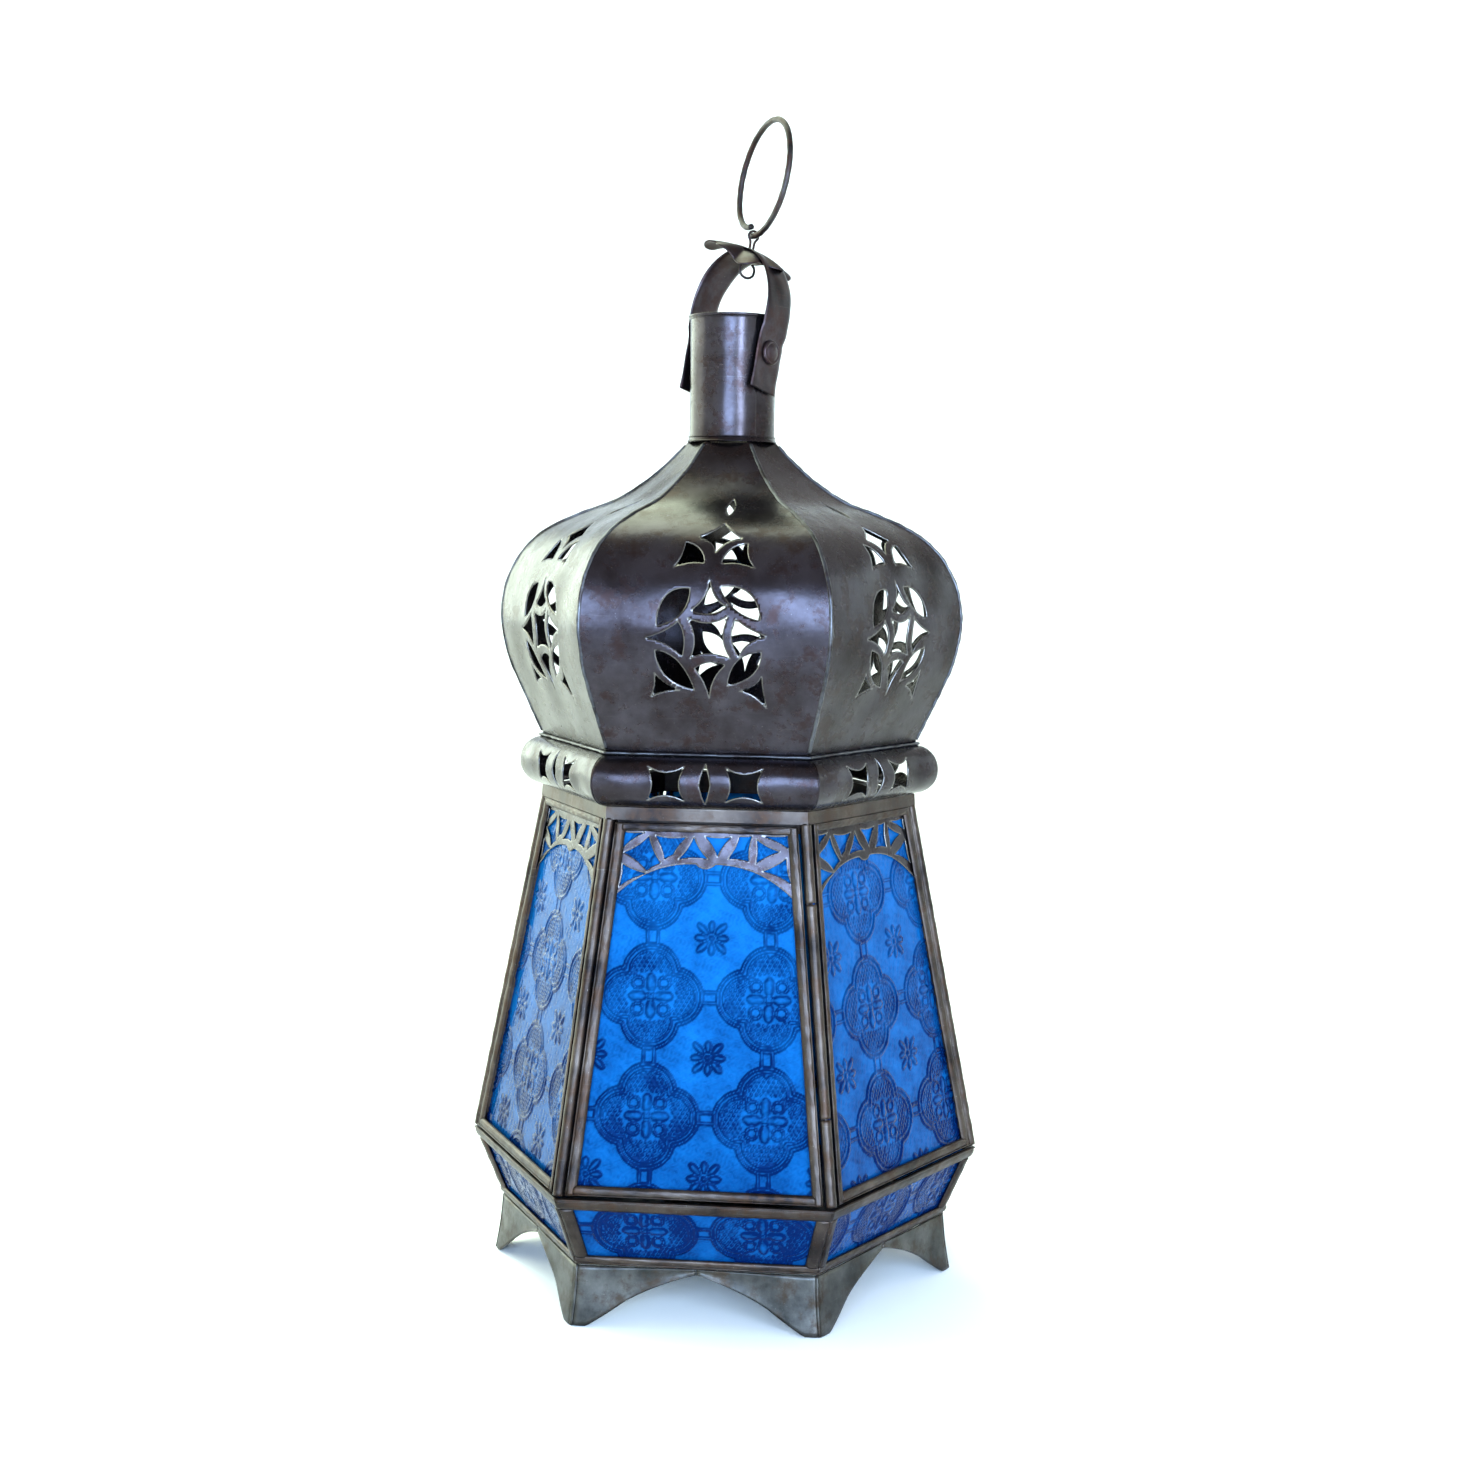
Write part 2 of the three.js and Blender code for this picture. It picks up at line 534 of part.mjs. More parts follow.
// The eye: a hairpin of wire round the ring, its legs through flower and strap, one leg curled below.
function ringEye() {
  const { legX, loopR, centre, curlR } = EYE;
  const { rise } = BAIL;
  const curlZ = rise - 3.2 - curlR;
  const loop = arcPoints([150, 90, 30], (c, s) => [loopR * c, 0, centre + loopR * s]);
  const curl = arcPoints([50, 0, -50, -100, -150, -200, -235], (c, s, deg) => (
    [curlR * c, -0.3 - 0.004 * (50 - deg), curlZ + curlR * s]
  ));
  return wire([
    [-4.2, 1.6, rise - 3.4], [-1.6, 0.6, rise - 2.2], [-legX, 0, rise], [-legX, 0, centre - 3.4],
    [-loopR, 0, centre - 0.6], ...loop, [loopR, 0, centre - 0.6], [legX, 0, centre - 3.4], [legX, 0, rise],
    [1.6, 0, rise - 2.4], ...curl,
  ], EYE.wireR, 46, 6);
}

// The ring: a hoop of wire that stands on the origin in the plane of Y and Z, sprung open beside it.
function hangingRing() {
  const count = 24;
  const step = (RING.to - RING.from) / count;
  const degrees = Array.from({ length: count + 1 }, (_, i) => RING.from + step * i);
  const points = arcPoints(degrees, (c, s, deg) => {
    const sprung = Math.max(0, (deg - RING.springFrom) / (RING.to - RING.springFrom));
    const r = RING.r - RING.spring * sprung ** 2;
    return [0, r * c, RING.r + r * s];
  });
  return wire(points, RING.wireR, 40, 8);
}

// ---- assembly ---------------------------------------------------------------------------------
function cageParts(lantern) {
  const fixed = geometryOf(cameFrame(FRAME_TOP));
  const glass = pane(FRAME_TOP);
  const head = tracery(FRAME_TOP);
  for (let i = 1; i < SIDES; i += 1) {
    lantern.add(onFace(namedMesh(`came_${FACE_NAMES[i]}`, fixed, came), CAGE, i));
    lantern.add(onFace(namedMesh(`pane_${FACE_NAMES[i]}`, glass, blueGlass), CAGE, i));
    lantern.add(onFace(namedMesh(`tracery_${FACE_NAMES[i]}`, head, tin), CAGE, i));
  }
  lantern.add(namedMesh('door_frame', geometryOf(doorFrame()), came));
  lantern.add(onFace(namedMesh('door_pane', pane(DOOR_TOP), blueGlass), CAGE, 0));
  lantern.add(onFace(namedMesh('door_tracery', tracery(DOOR_TOP), tin), CAGE, 0));
}

function cornerParts(lantern) {
  for (let i = 1; i < SIDES; i += 1) {
    const post = namedMesh(`post_${POST_NAMES[i]}`, postBar(POST.r, POST.z0, POST.z1), came);
    lantern.add(turned(post, i - 1));
  }
  const pin = postBar(HINGE.pinR, POST.z0 + 0.6, POST.z1 - 0.6, 8);
  lantern.add(turned(namedMesh('hinge_post_front_right', geometryOf(hingePost()), came), -1));
  lantern.add(turned(namedMesh('hinge_pin', pin, rustyIron), -1));
}

function bodyParts(lantern) {
  lantern.add(namedMesh('top_rail', hexRing(TOP_RAIL.outer, TOP_RAIL.inner, TOP_RAIL.z0, TOP_RAIL.z1), came));
  lantern.add(namedMesh('base_frame', geometryOf(baseFrame()), came));
  lantern.add(namedMesh('floor_plate', floorPlate(), tin));
  lantern.add(namedMesh('candle_cup', candleCup(), tin));
  const footShape = geometryOf(foot());
  const moulding = geometryOf(waistMoulding());
  const gore = geometryOf(domeGore());
  for (let i = 0; i < SIDES; i += 1) {
    lantern.add(turned(namedMesh(`foot_${POST_NAMES[i]}`, footShape, solderedTin), i));
    lantern.add(turned(namedMesh(`waist_moulding_${FACE_NAMES[i]}`, moulding, tin), i));
    lantern.add(turned(namedMesh(`dome_gore_${FACE_NAMES[i]}`, gore, tin), i));
    lantern.add(onFace(namedMesh(`base_pane_${FACE_NAMES[i]}`, basePane(), blueGlass), BASE_BAND, i));
  }
}

function hangingParts(lantern) {
  lantern.add(namedMesh('neck_tube', geometryOf(neckTube()), tin));
  const across = new THREE.Group();
  across.position.z = BAIL.z;
  across.rotation.z = THREE.MathUtils.degToRad(BAIL.azimuth);
  lantern.add(across);
  across.add(namedMesh('rivet_front', rivet(), tin));
  const backRivet = namedMesh('rivet_back', rivet(), tin);
  backRivet.rotation.z = Math.PI;
  across.add(backRivet);

  const bail = new THREE.Group();
  bail.rotation.x = -THREE.MathUtils.degToRad(BAIL.tilt);
  across.add(bail);
  bail.add(namedMesh('bail_strap', geometryOf(strap()), tin));
  const washer = namedMesh('flower_washer', flower(), tin);
  washer.position.z = BAIL.rise + FLOWER.above;
  washer.rotation.y = THREE.MathUtils.degToRad(FLOWER.lean);
  bail.add(washer);

  const swivel = new THREE.Group();
  swivel.rotation.z = THREE.MathUtils.degToRad(EYE.turn);
  bail.add(swivel);
  swivel.add(namedMesh('ring_eye', ringEye(), rustyIron));
  const hoop = namedMesh('hanging_ring', hangingRing(), rustyIron);
  hoop.position.z = EYE.centre;
  hoop.rotation.set(THREE.MathUtils.degToRad(RING.lean), THREE.MathUtils.degToRad(RING.side), 0, 'YXZ');
  swivel.add(hoop);
}

const lantern = new THREE.Group();
bodyParts(lantern);
cageParts(lantern);
cornerParts(lantern);
hangingParts(lantern);

export default lantern;
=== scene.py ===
import math
import bmesh
import bpy
import numpy as np
from mathutils import Matrix, Vector


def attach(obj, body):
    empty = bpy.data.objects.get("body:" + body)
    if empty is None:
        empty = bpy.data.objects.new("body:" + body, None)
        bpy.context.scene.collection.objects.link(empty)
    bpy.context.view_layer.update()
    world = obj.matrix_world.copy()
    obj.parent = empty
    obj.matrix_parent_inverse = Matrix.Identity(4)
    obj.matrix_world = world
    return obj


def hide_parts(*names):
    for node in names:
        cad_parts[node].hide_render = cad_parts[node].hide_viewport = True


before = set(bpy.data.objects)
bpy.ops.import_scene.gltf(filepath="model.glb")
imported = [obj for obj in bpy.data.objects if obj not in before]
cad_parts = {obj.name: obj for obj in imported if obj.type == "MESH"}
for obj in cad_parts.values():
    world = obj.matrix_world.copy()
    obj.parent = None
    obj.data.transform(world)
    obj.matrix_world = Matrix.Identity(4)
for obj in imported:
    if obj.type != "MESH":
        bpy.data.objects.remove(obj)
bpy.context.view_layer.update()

# ---- camera ----
# Stands in front of the door and a little to the right, level with the neck rim, and looks
# slightly down.
camera_data = bpy.data.cameras.new("camera")
camera = bpy.data.objects.new("camera", camera_data)
bpy.context.scene.collection.objects.link(camera)
bpy.context.scene.camera = camera


def aim(position, yaw, pitch, roll):
    """Camera matrix from where it stands, its turn from +Y, its tilt down and its roll, in degrees."""
    y, t, r = (math.radians(a) for a in (yaw, pitch, roll))
    forward = Vector((-math.sin(y) * math.cos(t), math.cos(y) * math.cos(t), -math.sin(t)))
    right = Vector((math.cos(y), math.sin(y), 0))
    up = right.cross(forward)
    x = right * math.cos(r) + up * math.sin(r)
    u = up * math.cos(r) - right * math.sin(r)
    turn = Matrix((x, u, -forward)).transposed()
    return Matrix.Translation(position) @ turn.to_4x4()


camera.matrix_world = aim((0.10494, -0.91113, 0.3276), yaw=5.13, pitch=5.27, roll=0.94)
camera_data.sensor_width = 36
camera_data.lens = 50.95
camera_data.shift_x = -0.035
camera_data.clip_start = 0.01

# ---- floor and light ----
# A plain pale floor that runs up all round into a plain pale wall, under soft studio light.


def linear(colour):
    """sRGB hex to linear colour: each channel by the sRGB curve, with alpha 1."""
    c = np.array([int(colour[i:i + 2], 16) for i in (1, 3, 5)]) / 255
    return (*np.where(c <= 0.04045, c / 12.92, ((c + 0.055) / 1.055) ** 2.4), 1.0)


def add(material, kind, settings=None, **links):
    """Adds a node. Settings are its properties or socket values, and links feed its sockets, each by its
    name or by _ and its number."""
    node = material.node_tree.nodes.new(kind)
    for name, value in (settings or {}).items():
        if name in node.inputs:
            node.inputs[name].default_value = value
        else:
            setattr(node, name, value)
    for name, socket in links.items():
        key = int(name[1:]) if name[0] == "_" else name.replace("_", " ")
        material.node_tree.links.new(socket, node.inputs[key])
    return node


def new_material(name, **values):
    """A material whose Principled sockets hold the given values, with _ for a space in their names."""
    material = bpy.data.materials.new(name)
    material.use_nodes = True
    surface = material.node_tree.nodes["Principled BSDF"]
    for socket, value in values.items():
        surface.inputs[socket.replace("_", " ")].default_value = value
    return material, surface


def new_piece(name, points, faces, material, closed=True, smooth=True):
    """A mesh object at the origin, from an array of points in millimetres and lists of face corners. A
    closed solid has its faces turned outwards; an open sheet keeps the side its faces were given."""
    mesh = bpy.data.meshes.new(name)
    mesh.from_pydata(np.asarray(points).reshape(-1, 3) / 1000, [], faces)
    if closed:
        work = bmesh.new()
        work.from_mesh(mesh)
        bmesh.ops.recalc_face_normals(work, faces=work.faces)
        work.to_mesh(mesh)
        work.free()
    mesh.polygons.foreach_set("use_smooth", np.full(len(mesh.polygons), smooth))
    mesh.materials.append(material)
    piece = bpy.data.objects.new(name, mesh)
    bpy.context.scene.collection.objects.link(piece)
    return piece


def quads(rows, columns, wrap_columns=False, wrap_rows=False):
    """Corner numbers of the quads of a grid counted row by row: each joins a point, its neighbour along
    the row, and the same two in the next row. A wrapped grid also joins its last line to its first."""
    at = np.arange(rows * columns).reshape(rows, columns)
    at = np.vstack([at, at[:1]]) if wrap_rows else at
    at = np.hstack([at, at[:, :1]]) if wrap_columns else at
    return np.stack([at[:-1, :-1], at[:-1, 1:], at[1:, 1:], at[1:, :-1]], -1).reshape(-1, 4)


def full_turn(count):
    """Evenly spaced angles once round, without the last, which is the first again."""
    return np.linspace(0, 2 * math.pi, count, endpoint=False)


FLOOR_REACH, FLOOR_Z, BEND_RADIUS, WALL_TOP, STUDIO_SIDES = 1800, -0.3, 900, 1500, 96
bend = np.linspace(0, math.pi / 2, 12)
bend_up = np.stack([FLOOR_REACH + BEND_RADIUS * np.sin(bend),
                    BEND_RADIUS - BEND_RADIUS * np.cos(bend) + FLOOR_Z], 1)
studio_profile = np.vstack([[[0, FLOOR_Z], [FLOOR_REACH / 2, FLOOR_Z]], bend_up,
                            [[FLOOR_REACH + BEND_RADIUS, WALL_TOP]]])
turn_round = full_turn(STUDIO_SIDES)
studio_points = np.stack([studio_profile[:, None, 0] * np.cos(turn_round),
                          studio_profile[:, None, 0] * np.sin(turn_round),
                          studio_profile[:, None, 1] + 0 * turn_round], -1)
paper, _ = new_material("matt_white_studio_paper", Base_Color=linear("#fbfbf9"), Roughness=0.9)
studio_faces = quads(len(studio_profile), STUDIO_SIDES, True).tolist()
studio = new_piece("studio_floor", studio_points, studio_faces, paper, closed=False)

world = bpy.data.worlds.new("studio_air")
world.use_nodes = True
world.node_tree.nodes["Background"].inputs["Color"].default_value = linear("#fbfaf8")
world.node_tree.nodes["Background"].inputs["Strength"].default_value = 0.62
bpy.context.scene.world = world


def softbox(name, position, target, size, power, colour):
    """A rectangular area light of a size in metres and a power in watts, turned to look at the target."""
    data = bpy.data.lights.new(name, "AREA")
    data.shape, data.size, data.size_y = "RECTANGLE", *size
    data.energy, data.color = power, linear(colour)[:3]
    lamp = bpy.data.objects.new(name, data)
    place = Vector(position)
    look = (Vector(target) - place).to_track_quat("-Z", "Y")
    lamp.matrix_world = Matrix.Translation(place) @ look.to_matrix().to_4x4()
    bpy.context.scene.collection.objects.link(lamp)


softbox("green_left", (-1.9, 0.7, 0.8), (0, 0, 0.25), (2.6, 2.0), 90, "#e0f0d6")
softbox("blue_front", (-0.05, -2.0, 0.62), (0, 0, 0.3), (0.9, 0.85), 52, "#aacfff")
softbox("blue_right", (0.97, -1.75, 0.6), (0, 0, 0.35), (0.4, 1.2), 64, "#bcdaff")
softbox("green_top", (-0.55, 0.6, 1.7), (0, 0, 0.3), (1.5, 1.1), 32, "#e2f5d4")
bpy.context.scene.view_settings.view_transform = "Standard"

# ---- feet ----
# Six feet of tinned sheet, each one piece folded round a corner of the base, its lower edge cut
# in a sweep up to the middle of the face. The tinning is dull grey, brown where it has worn.
HEX = math.cos(math.pi / 6)
SIDES = ["front", "front_right", "back_right", "back", "back_left", "front_left"]
CORNERS = ["front_right", "right", "back_right", "back_left", "left", "front_left"]
FOOT, BASE, SHOULDER, CAGE_TOP = (105, 0), (101.5, 25.5), (115, 56.5), (83.3, 215)
FOOT_GAUGE = 0.8


def slope_of(lower, upper):
    """Length of a sloping face from its lower to its upper edge, by Pythagoras."""
    return math.hypot((lower[0] - upper[0]) * HEX, upper[1] - lower[1])


def half_side(lower, upper, up, out=0):
    """Half the width of a sloping face, up the slope and out from it: its distance from the axis over
    root 3."""
    slope = slope_of(lower, upper)
    lean, rise = (lower[0] - upper[0]) * HEX / slope, (upper[1] - lower[1]) / slope
    return (lower[0] * HEX - up * lean + out * rise) / math.sqrt(3)


def on_face(lower, upper, across, up, out):
    """Front face between two (corner radius, height) levels: across runs along X, up runs up the slope
    from the lower edge, and out stands off the face."""
    slope = slope_of(lower, upper)
    lean, rise = (lower[0] - upper[0]) * HEX / slope, (upper[1] - lower[1]) / slope
    across, up, out = np.broadcast_arrays(across, up, out)
    return np.stack([across, up * lean - out * rise - lower[0] * HEX, lower[1] + up * rise + out * lean], -1)


def spun(points, angle):
    """Points turned about the axis by an angle."""
    x, y, c, s = points[..., 0], points[..., 1], math.cos(angle), math.sin(angle)
    return np.stack([x * c - y * s, x * s + y * c, points[..., 2]], -1)


def turned(points, sixths):
    """Points turned about the axis by a number of sixths of a turn."""
    return spun(points, sixths * math.pi / 3)


def unevenness(x, y, size, seed):
    """Smooth bumps from -1 to 1: the mean of six sine waves in seeded directions, about `size` mm long."""
    rng = np.random.default_rng(seed)
    angle, phase = rng.uniform(0, 2 * math.pi, (2, 6))
    pitch = 2 * math.pi / (size * rng.uniform(0.7, 1.4, 6))
    waves = [np.sin(p * (x * math.cos(a) + y * math.sin(a)) + f) for p, a, f in zip(pitch, angle, phase)]
    return sum(waves) / 3.2


def bezier(a, b, c, count):
    """Points on a quadratic Bezier curve from a to c with control b: (1-t)^2 a + 2t(1-t) b + t^2 c."""
    t = np.linspace(0, 1, count)[:, None]
    return (1 - t) ** 2 * np.array(a) + 2 * t * (1 - t) * np.array(b) + t ** 2 * np.array(c)


def thicken(piece, millimetres):
    """Gives an open sheet its wall, inwards from its face."""
    wall = piece.modifiers.new("sheet", "SOLIDIFY")
    wall.thickness, wall.offset = millimetres / 1000, -1
    return piece


def metal(name, dark, light, rust, rust_share, roughness, speck, dent, scratch, seed):
    """Aged tin or iron. Broad clouds run from dark to light, patches of rust lie over them, and fine
    scratches and specks over those. Roughness follows the patches, and dents and pits raise the surface:
    `dent` is their depth in mm, and `seed` moves the whole pattern."""
    material, surface = new_material(name, Metallic=0.92, Roughness=roughness)
    place = add(material, "ShaderNodeTexCoord").outputs["Object"]
    moved = add(material, "ShaderNodeMapping", {"Location": (seed, seed * 0.7, -seed)}, Vector=place)
    shift = moved.outputs[0]
    # scales are per metre: clouds 28 mm, patches 9 mm, specks 1 mm, pits 2.5 mm
    clouds = add(material, "ShaderNodeTexNoise", {"Scale": 36.0, "Detail": 6.0, "Roughness": 0.62},
                 Vector=shift)
    patches = add(material, "ShaderNodeTexNoise", {"Scale": 110.0, "Detail": 7.0, "Roughness": 0.7},
                  Vector=shift)
    specks = add(material, "ShaderNodeTexNoise", {"Scale": 1500.0, "Detail": 2.0}, Vector=shift)
    pits = add(material, "ShaderNodeTexNoise", {"Scale": 420.0, "Detail": 3.0}, Vector=shift)
    drawn = add(material, "ShaderNodeMapping", {"Rotation": (0.3, 0.5, 0.2), "Scale": (45, 45, 2600)},
                Vector=shift)
    lines = add(material, "ShaderNodeTexNoise", {"Scale": 1.0, "Detail": 2.0}, Vector=drawn.outputs[0])
    tone = add(material, "ShaderNodeMapRange", {"From Min": 0.36, "From Max": 0.64}, Value=clouds.outputs[0])
    base = add(material, "ShaderNodeMix", {"data_type": "RGBA"}, _0=tone.outputs[0])
    base.inputs[6].default_value, base.inputs[7].default_value = linear(dark), linear(light)
    low = 0.62 - 0.3 * rust_share
    patch = add(material, "ShaderNodeMapRange", {"From Min": low, "From Max": low + 0.14, "To Max": 0.8},
                Value=patches.outputs[0])
    rusted = add(material, "ShaderNodeMix", {"data_type": "RGBA"}, _0=patch.outputs[0], _6=base.outputs[2])
    rusted.inputs[7].default_value = linear(rust)
    bright = add(material, "ShaderNodeMapRange", {"From Min": 0.7, "From Max": 0.8, "To Max": 0.55},
                 Value=specks.outputs[0])
    worn = add(material, "ShaderNodeMapRange", {"From Min": 0.66, "From Max": 0.78, "To Max": scratch},
               Value=lines.outputs[0])
    marks = add(material, "ShaderNodeMath", {"operation": "MAXIMUM"},
                _0=bright.outputs[0], _1=worn.outputs[0])
    final = add(material, "ShaderNodeMix", {"data_type": "RGBA"}, _0=marks.outputs[0], _6=rusted.outputs[2])
    final.inputs[7].default_value = linear(speck)
    rough = add(material, "ShaderNodeMapRange", {"To Min": roughness - 0.1, "To Max": roughness + 0.22},
                Value=patches.outputs[0])
    dents = add(material, "ShaderNodeBump", {"Strength": 0.5, "Distance": dent / 1000},
                Height=clouds.outputs[0])
    pitted = add(material, "ShaderNodeBump", {"Strength": 0.35, "Distance": 0.00012},
                 Height=pits.outputs[0], Normal=dents.outputs[0])
    link = material.node_tree.links.new
    link(final.outputs[2], surface.inputs["Base Color"])
    link(rough.outputs[0], surface.inputs["Roughness"])
    link(pitted.outputs[0], surface.inputs["Normal"])
    return material


def foot_sheet():
    """Rows from the lower edge to the top, columns from one crotch round the corner to the other. The
    lower edge is two bezier sweeps. Each half bows in a little, and a bell curve rounds the fold."""
    gap, standoff, bow, fold_depth, fold_reach = 0.15, 0.3, 0.5, 0.8, 1.5
    columns, rows = 30, 14
    edge = np.vstack([bezier((gap, 23.6), (18, 18.5), (30, 11), 16),
                      bezier((30, 11), (38, 5), (45.5, 0.3), 10), [[52.5, 0.2]]])
    share = np.sin(np.linspace(0, math.pi / 2, columns)) ** 1.1
    x = gap + share * (half_side(FOOT, BASE, 0) - gap)
    low = np.interp(x, edge[:, 0], edge[:, 1])
    rise = np.linspace(0, 1, rows)[:, None]
    up = low + rise * (slope_of(FOOT, BASE) - standoff - low)
    across = x / half_side(FOOT, BASE, 0) * half_side(FOOT, BASE, up)
    bowed = -bow * np.sin(math.pi * rise) * (1 - share) + 0.25 * unevenness(across, up, 24, 3) - standoff
    right = on_face(FOOT, BASE, across, up, bowed)
    left = turned(right * [-1, 1, 1], 1)
    fold = np.exp(-((1 - share) * 52 / fold_reach) ** 2) * fold_depth
    inward = np.array([-math.cos(-math.pi / 3), -math.sin(-math.pi / 3), 0])
    right, left = right + inward * fold[:, None], left + inward * fold[:, None]
    return np.concatenate([right, left[:, -2::-1]], 1)


# Tinned sheet: dull grey with brown wear, so it throws soft, broken highlights.
tinned_sheet = metal("dull_tinned_sheet", "#292826", "#5a5855", "#35291f", rust_share=0.45, roughness=0.36,
                     speck="#7c7a74", dent=0.2, scratch=0.12, seed=1.3)
foot_points = foot_sheet()
foot_faces = quads(*foot_points.shape[:2]).tolist()
for sixth, corner in enumerate(CORNERS):
    foot = new_piece(f"foot_sheet_{corner}", turned(foot_points, sixth), foot_faces, tinned_sheet, False)
    thicken(foot, FOOT_GAUGE)
    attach(foot, "lantern")
    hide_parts(f"foot_{corner}")

# ---- base frame ----
# A ring of folded tin strips soldered at the corners: a rail under the low panes, a ridge along the
# shoulder, and a strap up each corner. Solder and rust leave it lumpy and brown.


def hex_ring(section, count, wave=0.0, seed=0):
    """A closed section of (distance from axis, height) points carried round the six sides, mitred at
    each corner because a point's half side is its distance over root 3. Waves push it in and out."""
    section = np.asarray(section, float)
    t = np.linspace(-1, 1, count, endpoint=False)[:, None]
    sides = []
    for sixth in range(6):
        ripple = wave * (unevenness(t * 55 + 200 * sixth, section[:, 1] * 2, 9, seed) - 1) * (1 - t ** 8)
        reach = section[:, 0] + ripple
        side = np.stack([t * section[:, 0] / math.sqrt(3), -reach + 0 * t, section[:, 1] + 0 * t], -1)
        sides.append(turned(side, sixth))
    points = np.concatenate(sides)
    return points, quads(len(points), len(section), True, True).tolist()


def round_bar(middle, half_width, half_height, lean=0.0):
    """An oval section about a (distance, height) point, leaned over by an angle."""
    a = full_turn(12)
    x, z = half_width * np.cos(a), half_height * np.sin(a)
    return np.stack([middle[0] + x * math.cos(lean) - z * math.sin(lean),
                     middle[1] + x * math.sin(lean) + z * math.cos(lean)], 1)


def capped(rows, columns):
    """Corner numbers of the faces of a swept solid: quads round it, and one face over each end."""
    last = (rows - 1) * columns
    ends = [list(range(columns)), list(range(last, last + columns))]
    return quads(rows, columns, True).tolist() + ends


def strip_section(span, crown, depth):
    """Section of a folded strip as (place, out) points: the front is crowned by a cubic, and the back is
    flat at `depth`."""
    w = np.linspace(0, 1, 9)
    front = np.stack([span[0] + w * (span[1] - span[0]), -crown * np.abs(2 * w - 1) ** 3], 1)
    return np.vstack([front, [[span[1], -depth], [span[0], -depth]]])


def stiles(lower, upper, edge, span, depth, sixth, crown=0.9, count=60, wave=0.12, seed=0):
    """Two strips up a face, from edge[0] to edge[1] in from its corners: each front is crowned, each back
    is flat at `depth` behind the face, and the left one mirrors the right."""
    section = strip_section(edge, crown, depth)
    up = np.linspace(*span, count)[:, None]
    out = section[:, 1] + wave * (unevenness(up, 7 * section[:, 0], 8, seed) - 1) * (section[:, 1] > -depth)
    across = half_side(lower, upper, up, out) - section[:, 0]
    right = on_face(lower, upper, across, up, out)
    faces = capped(count, len(section))
    return [(turned(right, sixth), faces), (turned(right * [-1, 1, 1], sixth), faces)]


def joined(parts):
    """Several (points, faces) lists as one, each face list counted on from the points before it."""
    points, faces, count = [], [], 0
    for part_points, part_faces in parts:
        flat = np.asarray(part_points).reshape(-1, 3)
        points.append(flat)
        faces += [[count + corner for corner in face] for face in part_faces]
        count += len(flat)
    return np.vstack(points), faces


def rail(lower, upper, span, depth, edge, sixth, crown=0.9, count=90, wave=0.12, seed=0):
    """A strip along a face between two heights up the slope, its ends cut `edge` in from the corners and
    parallel to them: the front is crowned and the back is flat at `depth` behind the face."""
    section = strip_section(span, crown, depth)
    t = np.linspace(-1, 1, count)[:, None]
    ripple = unevenness(t * 50, 7 * section[:, 0], 8, seed) - 1
    out = section[:, 1] + wave * ripple * (section[:, 1] > -depth)
    across = t * (half_side(lower, upper, section[:, 0], section[:, 1]) - edge)
    return [(turned(on_face(lower, upper, across, section[:, 0], out), sixth), capped(count, len(section)))]


# Folded tin strip, soldered: dark brown-grey, with pale flecks of solder and rust in the folds.
soldered_strip = metal("soldered_tin_strip", "#1f1a1a", "#4f453f", "#3d2c22", rust_share=0.45, roughness=0.34,
                       speck="#9c9893", dent=0.35, scratch=0.2, seed=4.1)
STRIP_DEPTH, BOTTOM_RAIL, TOP_RAIL, STRAP_WIDTH = 1.6, 3.7, 5.8, 5.4
base_slope = slope_of(BASE, SHOULDER)
shoulder_ridge = round_bar((SHOULDER[0] * HEX - 1.4, SHOULDER[1] - 0.3), 1.25, 0.6)
ledge_out, ledge_in = BASE[0] * HEX - 0.5, BASE[0] * HEX - 7.8
ledge = [(ledge_out, BASE[1] + 0.9), (ledge_in, BASE[1] + 0.9), (ledge_in, BASE[1]), (ledge_out, BASE[1])]
base_parts = [hex_ring(shoulder_ridge, 60, 0.1, 5), hex_ring(ledge, 8)]
for sixth in range(6):
    rails = [((0.1, BOTTOM_RAIL), 0.9, 10), ((base_slope - 0.2 - TOP_RAIL, base_slope - 0.2), 1.1, 20)]
    for span, crown, seed in rails:
        base_parts += rail(BASE, SHOULDER, span, STRIP_DEPTH, 0, sixth, crown, seed=seed + sixth)
    straps_span = (BOTTOM_RAIL - 0.5, base_slope - TOP_RAIL + 0.2)
    base_parts += stiles(BASE, SHOULDER, (0, STRAP_WIDTH), straps_span, STRIP_DEPTH, sixth,
                         count=30, seed=30 + sixth)
base_ring = new_piece("base_ring", *joined(base_parts), soldered_strip)
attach(base_ring, "lantern")
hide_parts("base_frame")

# ---- glass ----
# Twelve panes of rolled blue glass with a pressed pattern: quatrefoils with a double outline and a
# stippled ground, and small eight-petalled rosettes between them, repeating every 49 mm.
REPEAT = 49.0


def ridge(distance, half_width):
    """1 on a line and 0 beyond half_width of it, rounded like a bead."""
    return np.clip(1 - (distance / half_width) ** 2, 0, 1)


def petal(x, y, angle, near, far, width):
    """A raised almond that points outwards from `near` to `far` at an angle."""
    c, s = math.cos(angle), math.sin(angle)
    along = (x * c + y * s - near) / (far - near)
    aside = (-x * s + y * c) / width
    belly = np.sqrt(np.clip(4 * along * (1 - along), 0, 1))
    return np.clip(1 - (aside / np.maximum(belly, 0.05)) ** 2, 0, 1) * (along > 0) * (along < 1) * belly


